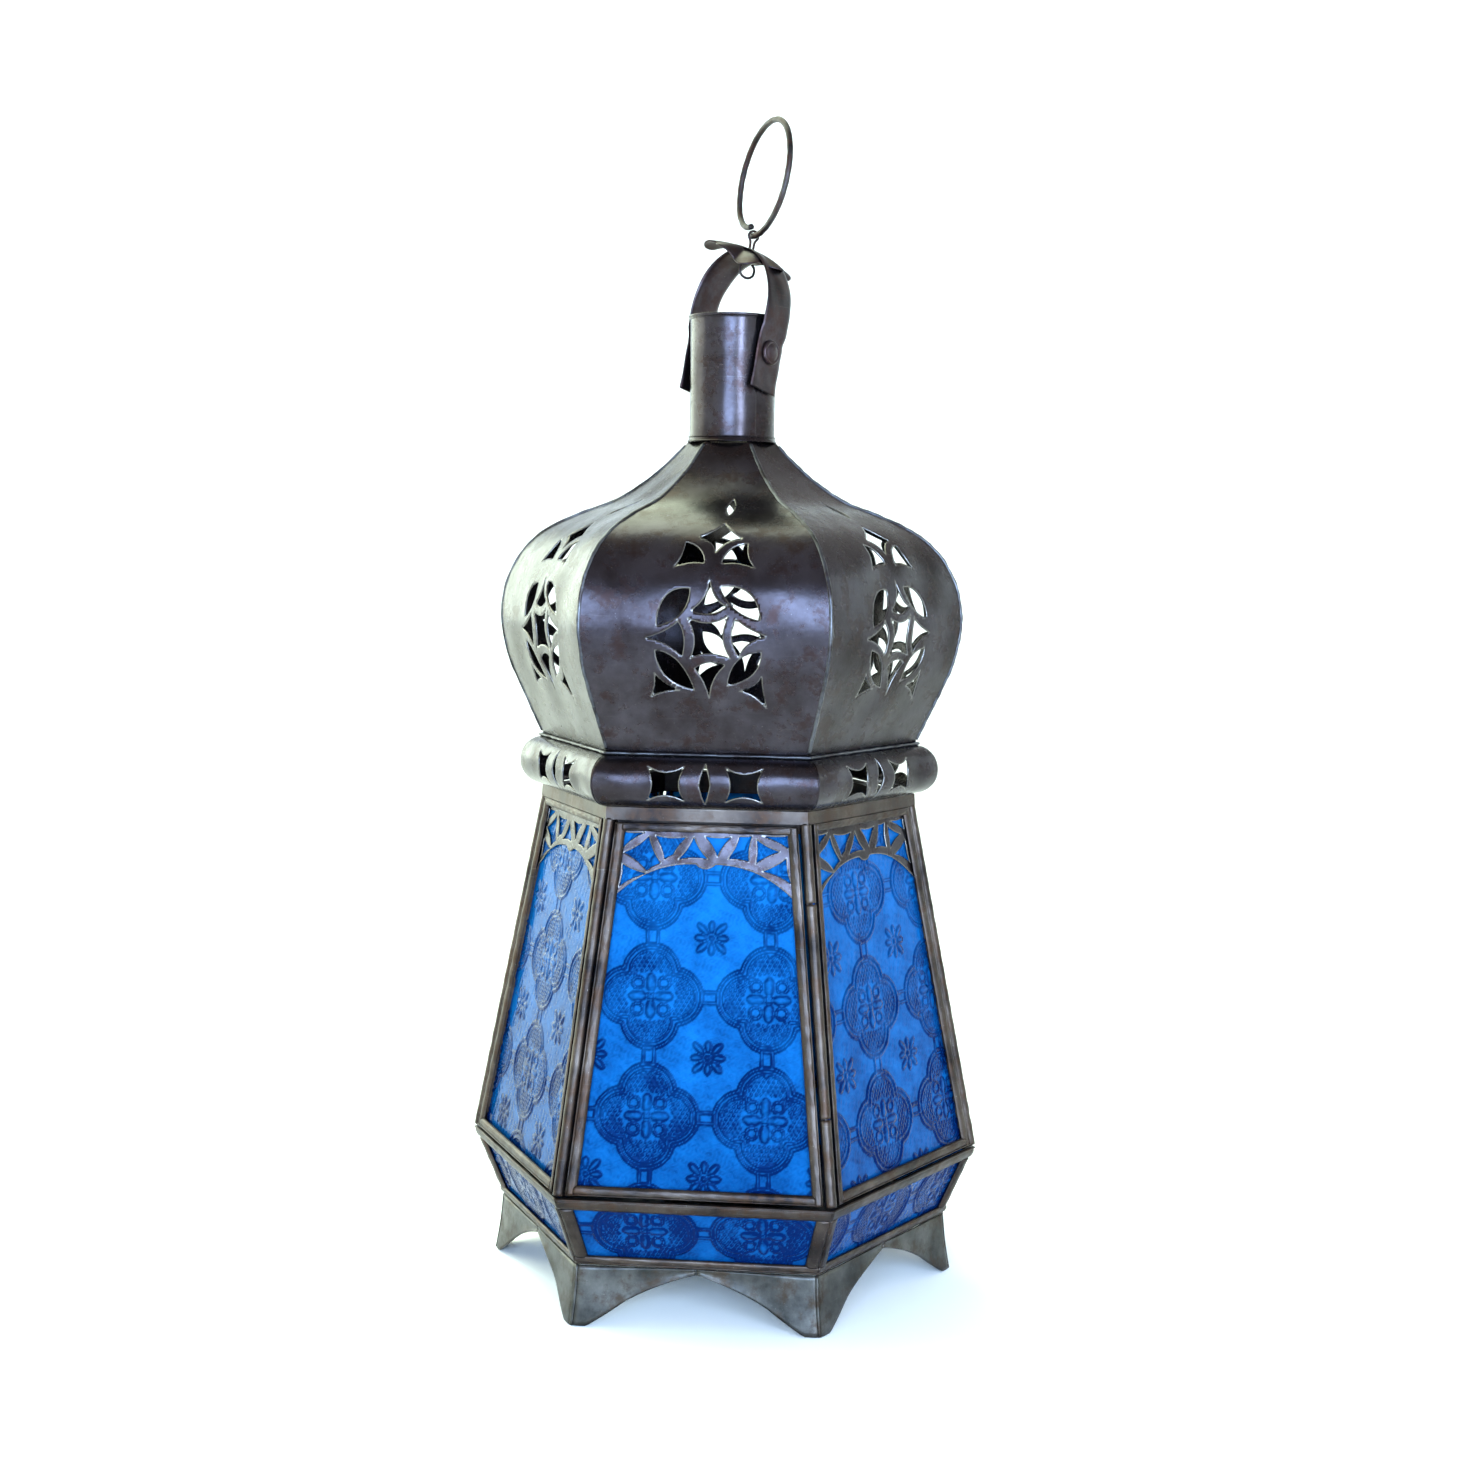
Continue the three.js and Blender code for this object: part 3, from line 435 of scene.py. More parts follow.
def pressed_relief(x, y):
    """Height of the pressed pattern from 0 to 1. A quatrefoil is the union of four circles: beads run
    along its outline and just inside it, dots fill it, and almonds and curls make its middle."""
    u = (x + REPEAT / 2) % REPEAT - REPEAT / 2
    v = (y + REPEAT / 2) % REPEAT - REPEAT / 2
    far, near = np.maximum(abs(u), abs(v)), np.minimum(abs(u), abs(v))
    lobe = np.hypot(far - 9.8, near) - 11.4
    fine = 0.1 * unevenness(x, y, 3.2, 1) + 0.06 * unevenness(x, y, 1.7, 2)
    height = np.maximum(ridge(lobe, 0.8), 0.8 * ridge(lobe + 2.5, 0.65))
    pitch = 2.0
    row = np.round(v / (pitch * 0.87))
    dot_x = u - pitch * (np.round(u / pitch - 0.5 * (row % 2)) + 0.5 * (row % 2))
    dots = ridge(np.hypot(dot_x, v - row * pitch * 0.87), 0.8)
    flower = sum(petal(u, v, k * math.pi / 2, 1.4, 9.4, 2.5) for k in range(4))
    curls = sum(ridge(np.hypot(u - 7.6 * math.cos(a), v - 7.6 * math.sin(a)) - 2.3, 0.6)
                for a in (math.pi / 4 + k * math.pi / 2 for k in range(4)))
    middle = np.maximum(np.maximum(flower, 0.8 * curls), ridge(np.hypot(u, v), 1.3))
    inside = (lobe < -3.4) & (np.hypot(u, v) > 10.5)
    height = np.maximum(height, 0.6 * dots * inside)
    height = np.maximum(height, middle * (np.hypot(u, v) < 10.5))
    ru, rv = REPEAT / 2 - abs(u), REPEAT / 2 - abs(v)
    rosette = sum(petal(ru, rv, k * math.pi / 4, 1.9, 7.2 + 1.4 * (k % 2), 1.7) for k in range(8))
    rosette = np.maximum(rosette, ridge(np.hypot(ru, rv), 1.3))
    height = np.maximum(height, rosette)
    bars = ridge(np.minimum(np.hypot(np.maximum(REPEAT / 2 - abs(u) - 3, 0), abs(v) - 2.2),
                            np.hypot(np.maximum(REPEAT / 2 - abs(v) - 3, 0), abs(u) - 2.2)), 0.6)
    return np.maximum(height, 0.7 * bars * (lobe > 0.6)) + fine


GRID_STEP, RELIEF = 0.56, 0.5


def glass_pane(lower, upper, edge, span, shift, back):
    """A closed pane: a grid over the face whose front lies at shift[2] from the face plane plus the
    pattern's height, with a flat back and straight edges; shift[0] and shift[1] slide the pattern. Also
    gives how steep the pattern is at each point, 1 where it rises half its height or more in a mm."""
    rows = int((span[1] - span[0]) / GRID_STEP)
    up = np.linspace(*span, rows)[:, None]
    half = half_side(lower, upper, up) - edge
    columns = int(2 * half.max() / GRID_STEP)
    across = np.linspace(-1, 1, columns) * half
    relief = pressed_relief(across - shift[0], up - shift[1])
    front = on_face(lower, upper, across, up, shift[2] + RELIEF * relief)
    steep = np.clip(np.hypot(*np.gradient(relief, GRID_STEP)) / 0.5, 0, 1)
    at = np.arange(rows * columns).reshape(rows, columns)
    border = np.concatenate([at[0], at[1:, -1], at[-1, -2::-1], at[-2:0:-1, 0]])
    rim_up, rim_across = np.broadcast_to(up, across.shape).ravel()[border], across.ravel()[border]
    behind = on_face(lower, upper, rim_across, rim_up, -back)
    n = rows * columns
    ring = n + np.arange(len(border))
    sides = np.stack([border, ring, np.roll(ring, -1), np.roll(border, -1)], 1)
    faces = quads(rows, columns).tolist() + sides.tolist() + [ring[::-1].tolist()]
    steep = np.concatenate([steep.ravel(), np.zeros(len(border))])
    return np.vstack([front.reshape(-1, 3), behind]), faces, steep


def new_pane(name, points, faces, steep):
    """A pane with the pattern's steepness kept on each point."""
    piece = new_piece(name, points, faces, blue_glass, closed=False)
    piece.data.attributes.new("steep", "FLOAT", "POINT").data.foreach_set("value", steep.astype(np.float32))
    return piece


# Rolled blue glass: mostly diffuse, with under a third of the light let through, and an index
# below real glass so that slanting panes stay blue. It gives the eye a blue glow, with painted shade that
# darkens it towards the foot and a painted shade line on every slope of the pattern.
blue_glass, glass_surface = new_material("blue_rolled_glass", Roughness=0.12, IOR=1.33,
                                         Transmission_Weight=0.3, Specular_IOR_Level=0.12,
                                         Specular_Tint=linear("#3a8ee0"))
glass_place = add(blue_glass, "ShaderNodeTexCoord").outputs["Object"]
height = add(blue_glass, "ShaderNodeSeparateXYZ", Vector=glass_place).outputs["Z"]
# Painted shade: the blue is darkened towards the foot of the lantern, where the panes fall darker.
painted_shade_to_foot = add(blue_glass, "ShaderNodeMapRange", {"From Min": 0.2, "From Max": 0.05, "To Max": 0.4}, Value=height)
streaks = add(blue_glass, "ShaderNodeTexNoise", {"Scale": 90.0, "Detail": 6.0}, Vector=glass_place)
streaks_and_painted_shade = add(blue_glass, "ShaderNodeMath", {"operation": "ADD"}, _0=streaks.outputs[0], _1=painted_shade_to_foot.outputs[0])
# Painted shade: a darker line wherever the pattern is steep, where its slopes bend the light away.
slopes = add(blue_glass, "ShaderNodeAttribute", {"attribute_name": "steep"})
tint = add(blue_glass, "ShaderNodeMath", {"operation": "MULTIPLY_ADD"},
           _0=slopes.outputs["Fac"], _2=streaks_and_painted_shade.outputs[0])
tint.inputs[1].default_value = 0.6
shade = add(blue_glass, "ShaderNodeMapRange", {"From Min": 0.4, "From Max": 1.4}, Value=tint.outputs[0])
# The colour runs from light to dark blue by the streaks and the painted shade.
blue_with_painted_shade = add(blue_glass, "ShaderNodeMix", {"data_type": "RGBA"}, _0=shade.outputs[0])
blue_with_painted_shade.inputs[6].default_value = linear("#0e62a6")
blue_with_painted_shade.inputs[7].default_value = linear("#021a48")
blue_glass.node_tree.links.new(blue_with_painted_shade.outputs[2], glass_surface.inputs["Base Color"])
rolled = add(blue_glass, "ShaderNodeTexNoise", {"Scale": 700.0, "Detail": 2.0}, Vector=glass_place)
ripple = add(blue_glass, "ShaderNodeBump", {"Strength": 0.25, "Distance": 0.0001}, Height=rolled.outputs[0])
blue_glass.node_tree.links.new(ripple.outputs[0], glass_surface.inputs["Normal"])

DOOR_TOP, CAME_TOP = 155.2, 156.2
for sixth, side in enumerate(SIDES):
    body, frame_top = ("door", DOOR_TOP) if sixth == 0 else ("lantern", CAME_TOP)
    slide = (28.0, 35.0) if sixth == 0 else (28.0 + 13 * sixth, 35.0 - 9 * sixth)
    points, faces, steep = glass_pane(SHOULDER, CAGE_TOP, 5.1, (3.1, frame_top - 1.3), (*slide, -3.3), 5.1)
    pane = new_pane(f"pressed_pane_{side}", turned(points, sixth), faces, steep)
    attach(pane, body)
    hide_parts("door_pane" if sixth == 0 else f"pane_{side}")
    low_span, low_shift = (2.2, base_slope - 3.4), (slide[0], 17.0, -2.5)
    points, faces, steep = glass_pane(BASE, SHOULDER, 3.6, low_span, low_shift, 4.1)
    pane = new_pane(f"pressed_base_pane_{side}", turned(points, sixth), faces, steep)
    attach(pane, "lantern")
    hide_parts(f"base_pane_{side}")

# ---- cage ----
# Each upper pane sits in a came of folded tin, soldered at its corners. The front came is the door,
# hinged on a wire pin in the split post at its right. Rolled tin posts cover the other corners.
POST_RADIUS = 2.35


def came(top, sixth):
    """Two stiles and two rails with crowned fronts, and the channel that holds the glass behind them."""
    foot, head = (1.8, 6.0), (top - 3.4, top)
    parts = stiles(SHOULDER, CAGE_TOP, (4.0, 7.9), (1.8, top), 1.5, sixth, 1.0, 150, seed=40 + sixth)
    parts += rail(SHOULDER, CAGE_TOP, foot, 1.5, 7.2, sixth, 1.0, seed=50 + sixth)
    parts += rail(SHOULDER, CAGE_TOP, head, 1.5, 7.2, sixth, 0.5, seed=60 + sixth)
    parts += stiles(SHOULDER, CAGE_TOP, (4.0, 4.9), (1.8, top), 6.2, sixth, 1.2, 20, 0)
    for height in (1.8, top - 0.9):
        parts += rail(SHOULDER, CAGE_TOP, (height, height + 0.9), 6.2, 4.2, sixth, 1.2, 20, 0)
    return parts


def corner_line(count, low=57.6, high=210.6):
    """Points of a post's middle line in the plane of a corner, as distance from the axis and height."""
    z = np.linspace(low, high, count)
    share = (z - SHOULDER[1]) / (CAGE_TOP[1] - SHOULDER[1])
    return np.stack([SHOULDER[0] + (CAGE_TOP[0] - SHOULDER[0]) * share - 2.5, z], 1)


def tangents(line):
    """Unit direction of a line at each of its points."""
    along = np.gradient(line, axis=0)
    return along / np.linalg.norm(along, axis=1)[:, None]


def distances(line):
    """Distance along a line to each of its points."""
    return np.concatenate([[0], np.cumsum(np.linalg.norm(np.diff(line, axis=0), axis=1))])


def bead(line, sixth, radius, wave=0.0, seed=0, count=14):
    """A round bead along a line of (distance, height) points in the plane of a corner: each ring of
    points stands square to the line, and its ends are closed."""
    along, a = tangents(line), full_turn(count)
    r = radius * (1 + wave * unevenness(distances(line)[:, None], 4 * a, 7, seed))
    outward = line[:, None, 0] + r * np.cos(a) * along[:, None, 1]
    upward = line[:, None, 1] - r * np.cos(a) * along[:, None, 0]
    points = np.stack([outward, r * np.sin(a), upward], -1)
    return turned(points, sixth - 1), capped(len(line), count)


for sixth, side in enumerate(SIDES):
    if sixth == 0:
        barrel = corner_line(80, 92.6, 177.9)
        door_parts = came(DOOR_TOP, 0) + [bead(barrel, 0, POST_RADIUS, 0.03, 3)]
        piece = new_piece("door_came", *joined(door_parts), soldered_strip)
    else:
        piece = new_piece(f"came_strip_{side}", *joined(came(CAME_TOP, sixth)), soldered_strip)
    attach(piece, "door" if sixth == 0 else "lantern")
    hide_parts("door_frame" if sixth == 0 else f"came_{side}")

for sixth, corner in enumerate(CORNERS):
    strip = bead(corner_line(40, 58.6, 209.6) - [3.1, 0], sixth, 1.15)
    if sixth == 0:
        ends = [bead(corner_line(30, 57.7, 92.0), 0, POST_RADIUS, 0.04, 1),
                bead(corner_line(30, 178.5, 210.5), 0, POST_RADIUS, 0.04, 2)]
        post = new_piece("hinge_knuckles", *joined([strip] + ends), soldered_strip)
    else:
        roll = bead(corner_line(150), sixth, POST_RADIUS, 0.035, sixth)
        post = new_piece(f"post_roll_{corner}", *joined([strip, roll]), soldered_strip)
    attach(post, "lantern")
    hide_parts(f"hinge_post_{corner}" if sixth == 0 else f"post_{corner}")

# The rail over the cames carries the dome. A lip behind it closes the gap over the door.
rail_section = [(72.6, 215.6), (72.9, 210.4), (66, 210.4), (66, 205.5), (65.2, 205.5), (65.2, 215.6)]
head_rail = new_piece("head_rail", *joined([hex_ring(rail_section, 30)]), soldered_strip, smooth=False)
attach(head_rail, "lantern")
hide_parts("top_rail")

# ---- pierced sheets ----
# The heads of the panes, the waist and the dome are tin sheet with openings cut by chisel. A pierced
# sheet is a grid whose faces inside an opening are left out, and whose free edge is drawn onto the cut.


def cut_outline(corners, bow, steps=9):
    """A closed outline through the corners, each side a bezier bowed towards the middle by `bow` times
    its length (a negative bow swells it)."""
    corners = np.array(corners, float)
    after = np.roll(corners, -1, 0)
    inward = corners.mean(0) - (corners + after) / 2
    length = np.linalg.norm(after - corners, axis=1)[:, None]
    inward *= 2 * bow * length / np.linalg.norm(inward, axis=1)[:, None]
    control = (corners + after) / 2 + inward
    return np.vstack([bezier(a, b, c, steps + 1)[:-1] for a, b, c in zip(corners, control, after)])


def pierced(across, up, outlines, keep=None):
    """Cuts outlines out of a grid of (across, up) points. Returns the moved grid, the kept faces and each
    point's distance to the nearest cut. A face goes if its middle is in an opening, counted by how often
    a line from it crosses the outline, or outside the outline `keep`. Points on a free edge move to the
    nearest point of the cut."""
    rows, columns = across.shape
    points = np.stack([across.ravel(), up.ravel()], 1)
    faces = quads(rows, columns)
    middle = points[faces].mean(1)
    gone = np.zeros(len(faces), bool)
    nearest, distance = points.copy(), np.full(len(points), 99.0)
    for number, outline in enumerate(list(outlines) + ([keep] if keep is not None else [])):
        a, b = outline, np.roll(outline, -1, 0)
        spans = (a[:, 1] > middle[:, None, 1]) != (b[:, 1] > middle[:, None, 1])
        rise = np.where(b[:, 1] == a[:, 1], 1e-9, b[:, 1] - a[:, 1])
        crossing = a[:, 0] + (middle[:, None, 1] - a[:, 1]) * (b[:, 0] - a[:, 0]) / rise
        inside = (spans & (crossing > middle[:, None, 0])).sum(1) % 2 == 1
        gone |= inside if number < len(outlines) else ~inside
        close = np.flatnonzero((abs(points - outline.mean(0)) < np.ptp(outline, axis=0) + 4).all(1))
        d = b - a
        t = ((points[close, None] - a) * d).sum(2) / (d ** 2).sum(1)
        foot = a + np.clip(t, 0, 1)[..., None] * d
        gap = np.linalg.norm(points[close, None] - foot, axis=2)
        best = gap.argmin(1)
        nearer = gap[np.arange(len(close)), best] < distance[close]
        found = close[nearer]
        distance[found] = gap[np.arange(len(close)), best][nearer]
        nearest[found] = foot[np.arange(len(close)), best][nearer]
    kept = faces[~gone]
    edges = np.sort(np.concatenate([kept[:, [i, (i + 1) % 4]] for i in range(4)]), 1)
    single, times = np.unique(edges, axis=0, return_counts=True)
    free = np.zeros(len(points), bool)
    free[single[times == 1].ravel()] = True
    free &= (distance < 2.2 * abs(np.diff(up, axis=0)).max())
    points[free] = nearest[free]
    distance[free] = 0
    return points.reshape(rows, columns, 2), kept, distance


def pierced_piece(name, points, faces, distance, material, thickness):
    """A sheet with only the points that its faces use, and each point's distance from a cut kept on it."""
    used, numbers = np.unique(faces, return_inverse=True)
    corners = numbers.reshape(faces.shape).tolist()
    piece = new_piece(name, points.reshape(-1, 3)[used], corners, material, closed=False)
    cut = piece.data.attributes.new("from_cut", "FLOAT", "POINT")
    cut.data.foreach_set("value", np.minimum(distance[used], 20).astype(np.float32))
    return thicken(piece, thickness)


def worn_cuts(material):
    """Brightens an aged metal within 0.5 mm of a cut, where handling has worn the patina off."""
    surface = material.node_tree.nodes["Principled BSDF"]
    colour = surface.inputs["Base Color"].links[0].from_socket
    distance = add(material, "ShaderNodeAttribute", {"attribute_name": "from_cut"})
    span = {"From Min": 0.05, "From Max": 0.55, "To Min": 0.75, "To Max": 0.0}
    near = add(material, "ShaderNodeMapRange", span, Value=distance.outputs["Fac"])
    worn = add(material, "ShaderNodeMix", {"data_type": "RGBA"}, _0=near.outputs[0], _6=colour)
    worn.inputs[7].default_value = linear("#77736f")
    material.node_tree.links.new(worn.outputs[2], surface.inputs["Base Color"])
    return material


# Blackened tin sheet: brown-black with blue-grey clouds, smooth enough to carry long soft highlights.
TIN = ("#221b1c", "#3d383d", "#2a1c1a", 0.4, 0.2, "#6f6a67", 0.22, 0.12, 0.0)
blackened_tin = worn_cuts(metal("blackened_tin_sheet", *TIN))

# The head of each pane: curved bars, cut by eye, over two lobes that meet at a round drop.
head_openings = [cut_outline(corners, 0.06) for corners in (
    [(-34.8, 151.4), (-25.7, 151.4), (-35.3, 144.1)],
    [(-34.2, 142.8), (-24, 149.8), (-18.7, 138.8), (-24.5, 135.4)],
    [(-34.7, 138.1), (-24.4, 134.4), (-36, 128.4)],
    [(-21.3, 150.2), (-8.4, 149.8), (-13.6, 142.5), (-17.2, 140.4)],
    [(-5.2, 149.9), (0.7, 141.1), (-11.5, 140.5)], [(-0.7, 150.4), (10.4, 150.4), (4.8, 142.1)],
    [(13.8, 150.7), (19, 151.1), (18, 140.4), (9.3, 141.3)], [(20.8, 149.8), (30.6, 144.9), (20.8, 139.6)],
    [(23.1, 151.3), (33.8, 151.5), (34.7, 145.9)], [(23.7, 136.6), (33.5, 142.3), (35.9, 131.6)])]
left_lobe = bezier((-4.2, 138.7), (-25.5, 139.2), (-42, 120), 30)
drop = bezier((4.2, 138.7), (0, 134.9), (-4.2, 138.7), 9)
lobe = np.vstack([left_lobe[::-1] * [-1, 1], drop[1:], left_lobe[1:]])
head_edge = np.vstack([lobe, [[-60, 121], [-60, 170], [60, 170], [60, 121]]])
for sixth, side in enumerate(SIDES):
    top = 153.8 if sixth == 0 else 154.8
    up = np.linspace(121.6, top, 72)[:, None]
    across = np.linspace(-1, 1, 170) * (half_side(SHOULDER, CAGE_TOP, up) - 5.2)
    grid, faces, distance = pierced(across, up + 0 * across, head_openings, head_edge)
    out = -1.95 + 0.2 * unevenness(grid[..., 0], grid[..., 1], 14, 70 + sixth) - 0.2
    points = on_face(SHOULDER, CAGE_TOP, grid[..., 0], grid[..., 1], out)
    head = pierced_piece(f"pierced_head_{side}", turned(points, sixth), faces, distance, blackened_tin, 0.5)
    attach(head, "door" if sixth == 0 else "lantern")
    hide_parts("door_tracery" if sixth == 0 else f"tracery_{side}")

# ---- waist ----
# A half-round strip along each side over the cage, pierced with a slim lens between two stars, and
# mitred at the corners.
WAIST_Z, WAIST_HALF, WAIST_OUT, WAIST_IN = 226.7, 10.7, 9.6, 72.2
star = np.array([(-7.75, 7.2), (7.75, 7.2), (7.75, -7.2), (-7.75, -7.2)])
waist_openings = [cut_outline(star + [x, WAIST_Z], 0.16) for x in (-16.2, 16.2)]
lens = [(0, WAIST_Z - 8.2), (2.2, WAIST_Z), (0, WAIST_Z + 8.2), (-2.2, WAIST_Z)]
waist_openings.append(cut_outline(lens, -0.05))
for sixth, side in enumerate(SIDES):
    arc = np.linspace(-math.pi / 2, math.pi / 2, 48)[:, None]
    reach = WAIST_IN + WAIST_OUT * np.cos(arc)
    across = np.linspace(-1, 1, 130) * (reach / math.sqrt(3) - 0.35)
    grid, faces, distance = pierced(across, WAIST_Z + WAIST_HALF * np.sin(arc) + 0 * across, waist_openings)
    lift = np.clip((grid[..., 1] - WAIST_Z) / WAIST_HALF, -1, 1)
    dent = 0.35 * (unevenness(grid[..., 0], grid[..., 1], 22, 80 + sixth) - 1)
    reach = WAIST_IN + WAIST_OUT * np.sqrt(1 - lift ** 2) + dent * (1 - lift ** 2)
    points = turned(np.stack([grid[..., 0], -reach, grid[..., 1]], -1), sixth)
    strip = pierced_piece(f"waist_roll_{side}", points, faces, distance, blackened_tin, 0.6)
    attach(strip, "lantern")
    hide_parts(f"waist_moulding_{side}")

# ---- dome ----
# Six gores of pierced tin, each bent in one direction only and soldered to its neighbours. The seams
# stand proud as thin bright beads, and the lower edge is turned out over the waist.
DOME = np.array([(83.4, 238), (87, 245.5), (92.6, 257.5), (99, 272), (102.2, 285), (102.8, 294),
                 (101.4, 304), (98, 313), (92, 322), (82.5, 330), (68, 337), (51, 343.5),
                 (37, 352.5), (27, 361.3), (19.5, 369.2)])
DOME_ROWS, DOME_COLUMNS = 165, 116


def smooth_through(points, count):
    """A Catmull-Rom curve through the points: on each span, a cubic set by the four nearest points."""
    padded = np.vstack([2 * points[0] - points[1], points, 2 * points[-1] - points[-2]])
    s = np.linspace(0, len(points) - 1, count)
    i = np.minimum(s.astype(int), len(points) - 2)
    t = (s - i)[:, None]
    a, b, c, d = padded[i], padded[i + 1], padded[i + 2], padded[i + 3]
    return 0.5 * (2 * b + (c - a) * t + (2 * a - 5 * b + 4 * c - d) * t ** 2 + (3 * b - a - 3 * c + d) * t ** 3)


dome_line = smooth_through(DOME, 400)
length = distances(dome_line)
even = np.linspace(0, length[-1], DOME_ROWS)
dome_line = np.stack([np.interp(even, length, dome_line[:, k]) for k in (0, 1)], 1)


def curved_outline(points, steps=9):
    """A closed outline through points that take turns: a corner, then the middle of the curve to the next
    corner. A bezier passes its middle if its control is twice the middle less the corners' mean."""
    points = np.array(points, float)
    corners, middles = points[::2], points[1::2]
    after = np.roll(corners, -1, 0)
    controls = 2 * middles - (corners + after) / 2
    return np.vstack([bezier(a, b, c, steps + 1)[:-1] for a, b, c in zip(corners, controls, after)])


# Cut by hand, so no two are quite alike. From the top: a slit, an arrowhead over two fins, a ring of
# four lenses round an inward-bowed square with a fin on each side of it, and two fins at the foot.
dome_openings = [curved_outline(points) for points in (
    [(6.2, 343.6), (4.2, 339.9), (5.4, 336.2), (7.6, 339.4)],
    [(5.2, 333.2), (0.9, 330), (-4, 327.6), (1.2, 325.2), (3, 321.4), (7.4, 325.6), (13.4, 327.4), (9, 330.2)],
    [(-9.6, 325.6), (-10.6, 319.9), (-13.6, 315.2), (-7.6, 317.2), (-0.9, 317.2), (-3.6, 323)],
    [(15.9, 325.4), (16.8, 319.5), (20, 315.3), (12.7, 317.3), (6, 316.9), (9.2, 322.8)],
    [(1.4, 311.2), (0, 304), (-5.4, 298.2), (2, 297), (9, 300), (4, 303.6)],
    [(-6.2, 307), (-15.9, 303.8), (-19.4, 291.8), (-9.6, 297)],
    [(5.8, 308), (17.6, 305.4), (22.6, 294.6), (12.4, 299)],
    [(-7, 295.2), (1.6, 293.1), (9.8, 296.3), (7.5, 287.4), (10.6, 279), (1.6, 280.9),
     (-5.6, 278.8), (-3.9, 287.1)],
    [(-23.6, 286.7), (-16.6, 289.4), (-10.7, 293.4), (-8.4, 287.4), (-9.1, 279.4), (-15.8, 284.4)],
    [(25.2, 288.2), (18, 291.2), (12.7, 295), (11.2, 287.4), (14, 279.9), (18, 285.2)],
    [(-20, 281.8), (-10.8, 277.4), (-4.4, 265.8), (-15.6, 271.2)],
    [(23, 281.6), (13.6, 278), (9.2, 267.8), (19.6, 272.8)],
    [(-3.9, 274.6), (2, 277.2), (8.3, 276.2), (3.6, 270.2), (1.6, 262.6), (-0.4, 269.2)],
    [(-20.6, 272.6), (-20.4, 267.6), (-22.2, 262.6), (-16, 265), (-10.4, 265.4), (-16.4, 268.4)],
    [(23.2, 272), (23.6, 265), (25, 258.6), (20, 263.6), (14, 265.8), (20, 267.8)])]
columns_share, rows_share = np.linspace(-1, 1, DOME_COLUMNS), np.linspace(0, 1, DOME_ROWS)[:, None]
free = np.sin(math.pi * (columns_share + 1) / 2) * np.sin(math.pi * rows_share)
for sixth, side in enumerate(SIDES):
    up = dome_line[:, 1:] + np.zeros(DOME_COLUMNS)
    across = columns_share * (dome_line[:, :1] / 2 - 0.2)
    grid, faces, distance = pierced(across, up, dome_openings)
    corner = np.interp(grid[..., 1], dome_line[:, 1], dome_line[:, 0])
    dent = 0.7 * free * (unevenness(grid[..., 0], grid[..., 1], 34, 90 + sixth) - 0.7)
    points = turned(np.stack([grid[..., 0], -corner * HEX - dent, grid[..., 1]], -1), sixth)
    gore = pierced_piece(f"pierced_gore_{side}", points, faces, distance, blackened_tin, 0.7)
    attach(gore, "lantern")
    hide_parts(f"dome_gore_{side}")

# Solder run along a seam: greyer and brighter than the sheet, and lumpy.
seam_solder = metal("seam_solder", "#2c2b2e", "#5f5f63", "#2a201e", rust_share=0.45, roughness=0.3,
                    speck="#aaa8a3", dent=0.1, scratch=0.15, seed=7.0)
seams = [bead(dome_line[2:-2] - [0.45, 0], sixth, 0.85, 0.16, 5 + sixth, 10) for sixth in range(6)]
seams.append(hex_ring(round_bar((84.3 * HEX, 238.0), 1.3, 0.75, 0.25), 60, 0.25, 8))
dome_seams = new_piece("dome_seams", *joined(seams), seam_solder)
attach(dome_seams, "lantern")

# ---- neck ----
# A tin tube rolled round and lapped, soldered to the tops of the gores. Its mouth is turned out.
neck_profile = np.array([(19.9, 369.4), (19.3, 370.2), (18.95, 371.6), (18.9, 374), (18.85, 400),
                         (18.9, 420.5), (19.2, 422.2), (19.85, 423.2), (19.9, 423.9), (19.3, 424)])
NECK_ROWS, NECK_COLUMNS, NECK_GAUGE = 90, 240, 0.6
neck_line = smooth_through(neck_profile, NECK_ROWS)


def lapped(radius, angle, seam=math.radians(-51), lap=0.45):
    """A tube whose sheet spirals in by `lap` over the last part of a turn and steps back at the seam."""
    past = (angle - seam) % (2 * math.pi)
    return radius - lap * np.clip(1 - past / 1.1, 0, 1) * (past > 0.02)


angles = full_turn(NECK_COLUMNS)
r = lapped(neck_line[:, :1], angles) + 0.1 * (unevenness(angles * 19, neck_line[:, 1:], 16, 4) - 1)
neck_points = np.stack([r * np.cos(angles), r * np.sin(angles), neck_line[:, 1:] + 0 * angles], -1)
neck_tin = metal("blackened_tin_tube", *TIN)
neck_faces = quads(NECK_ROWS, NECK_COLUMNS, True).tolist()
neck = thicken(new_piece("lapped_neck", neck_points, neck_faces, neck_tin, closed=False), NECK_GAUGE)
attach(neck, "lantern")
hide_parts("neck_tube")

# ---- bail ----
# A strap of tin bent into an arch and riveted to the neck at each side. It leans back on its rivets.
BAIL_TURN, BAIL_LEAN, BAIL_Z, BAIL_RISE = math.radians(-32.4), math.radians(14), 407.5, 46


def on_neck(points):
    """From the bail's own frame, upright over the rivets' line along X, to the lantern's: leaned back
    about that line, turned, and raised to the rivets."""
    x, y, z, c, s = *np.moveaxis(points, -1, 0), math.cos(BAIL_LEAN), math.sin(BAIL_LEAN)
    return spun(np.stack([x, y * c + z * s, z * c - y * s], -1), BAIL_TURN) + [0, 0, BAIL_Z]


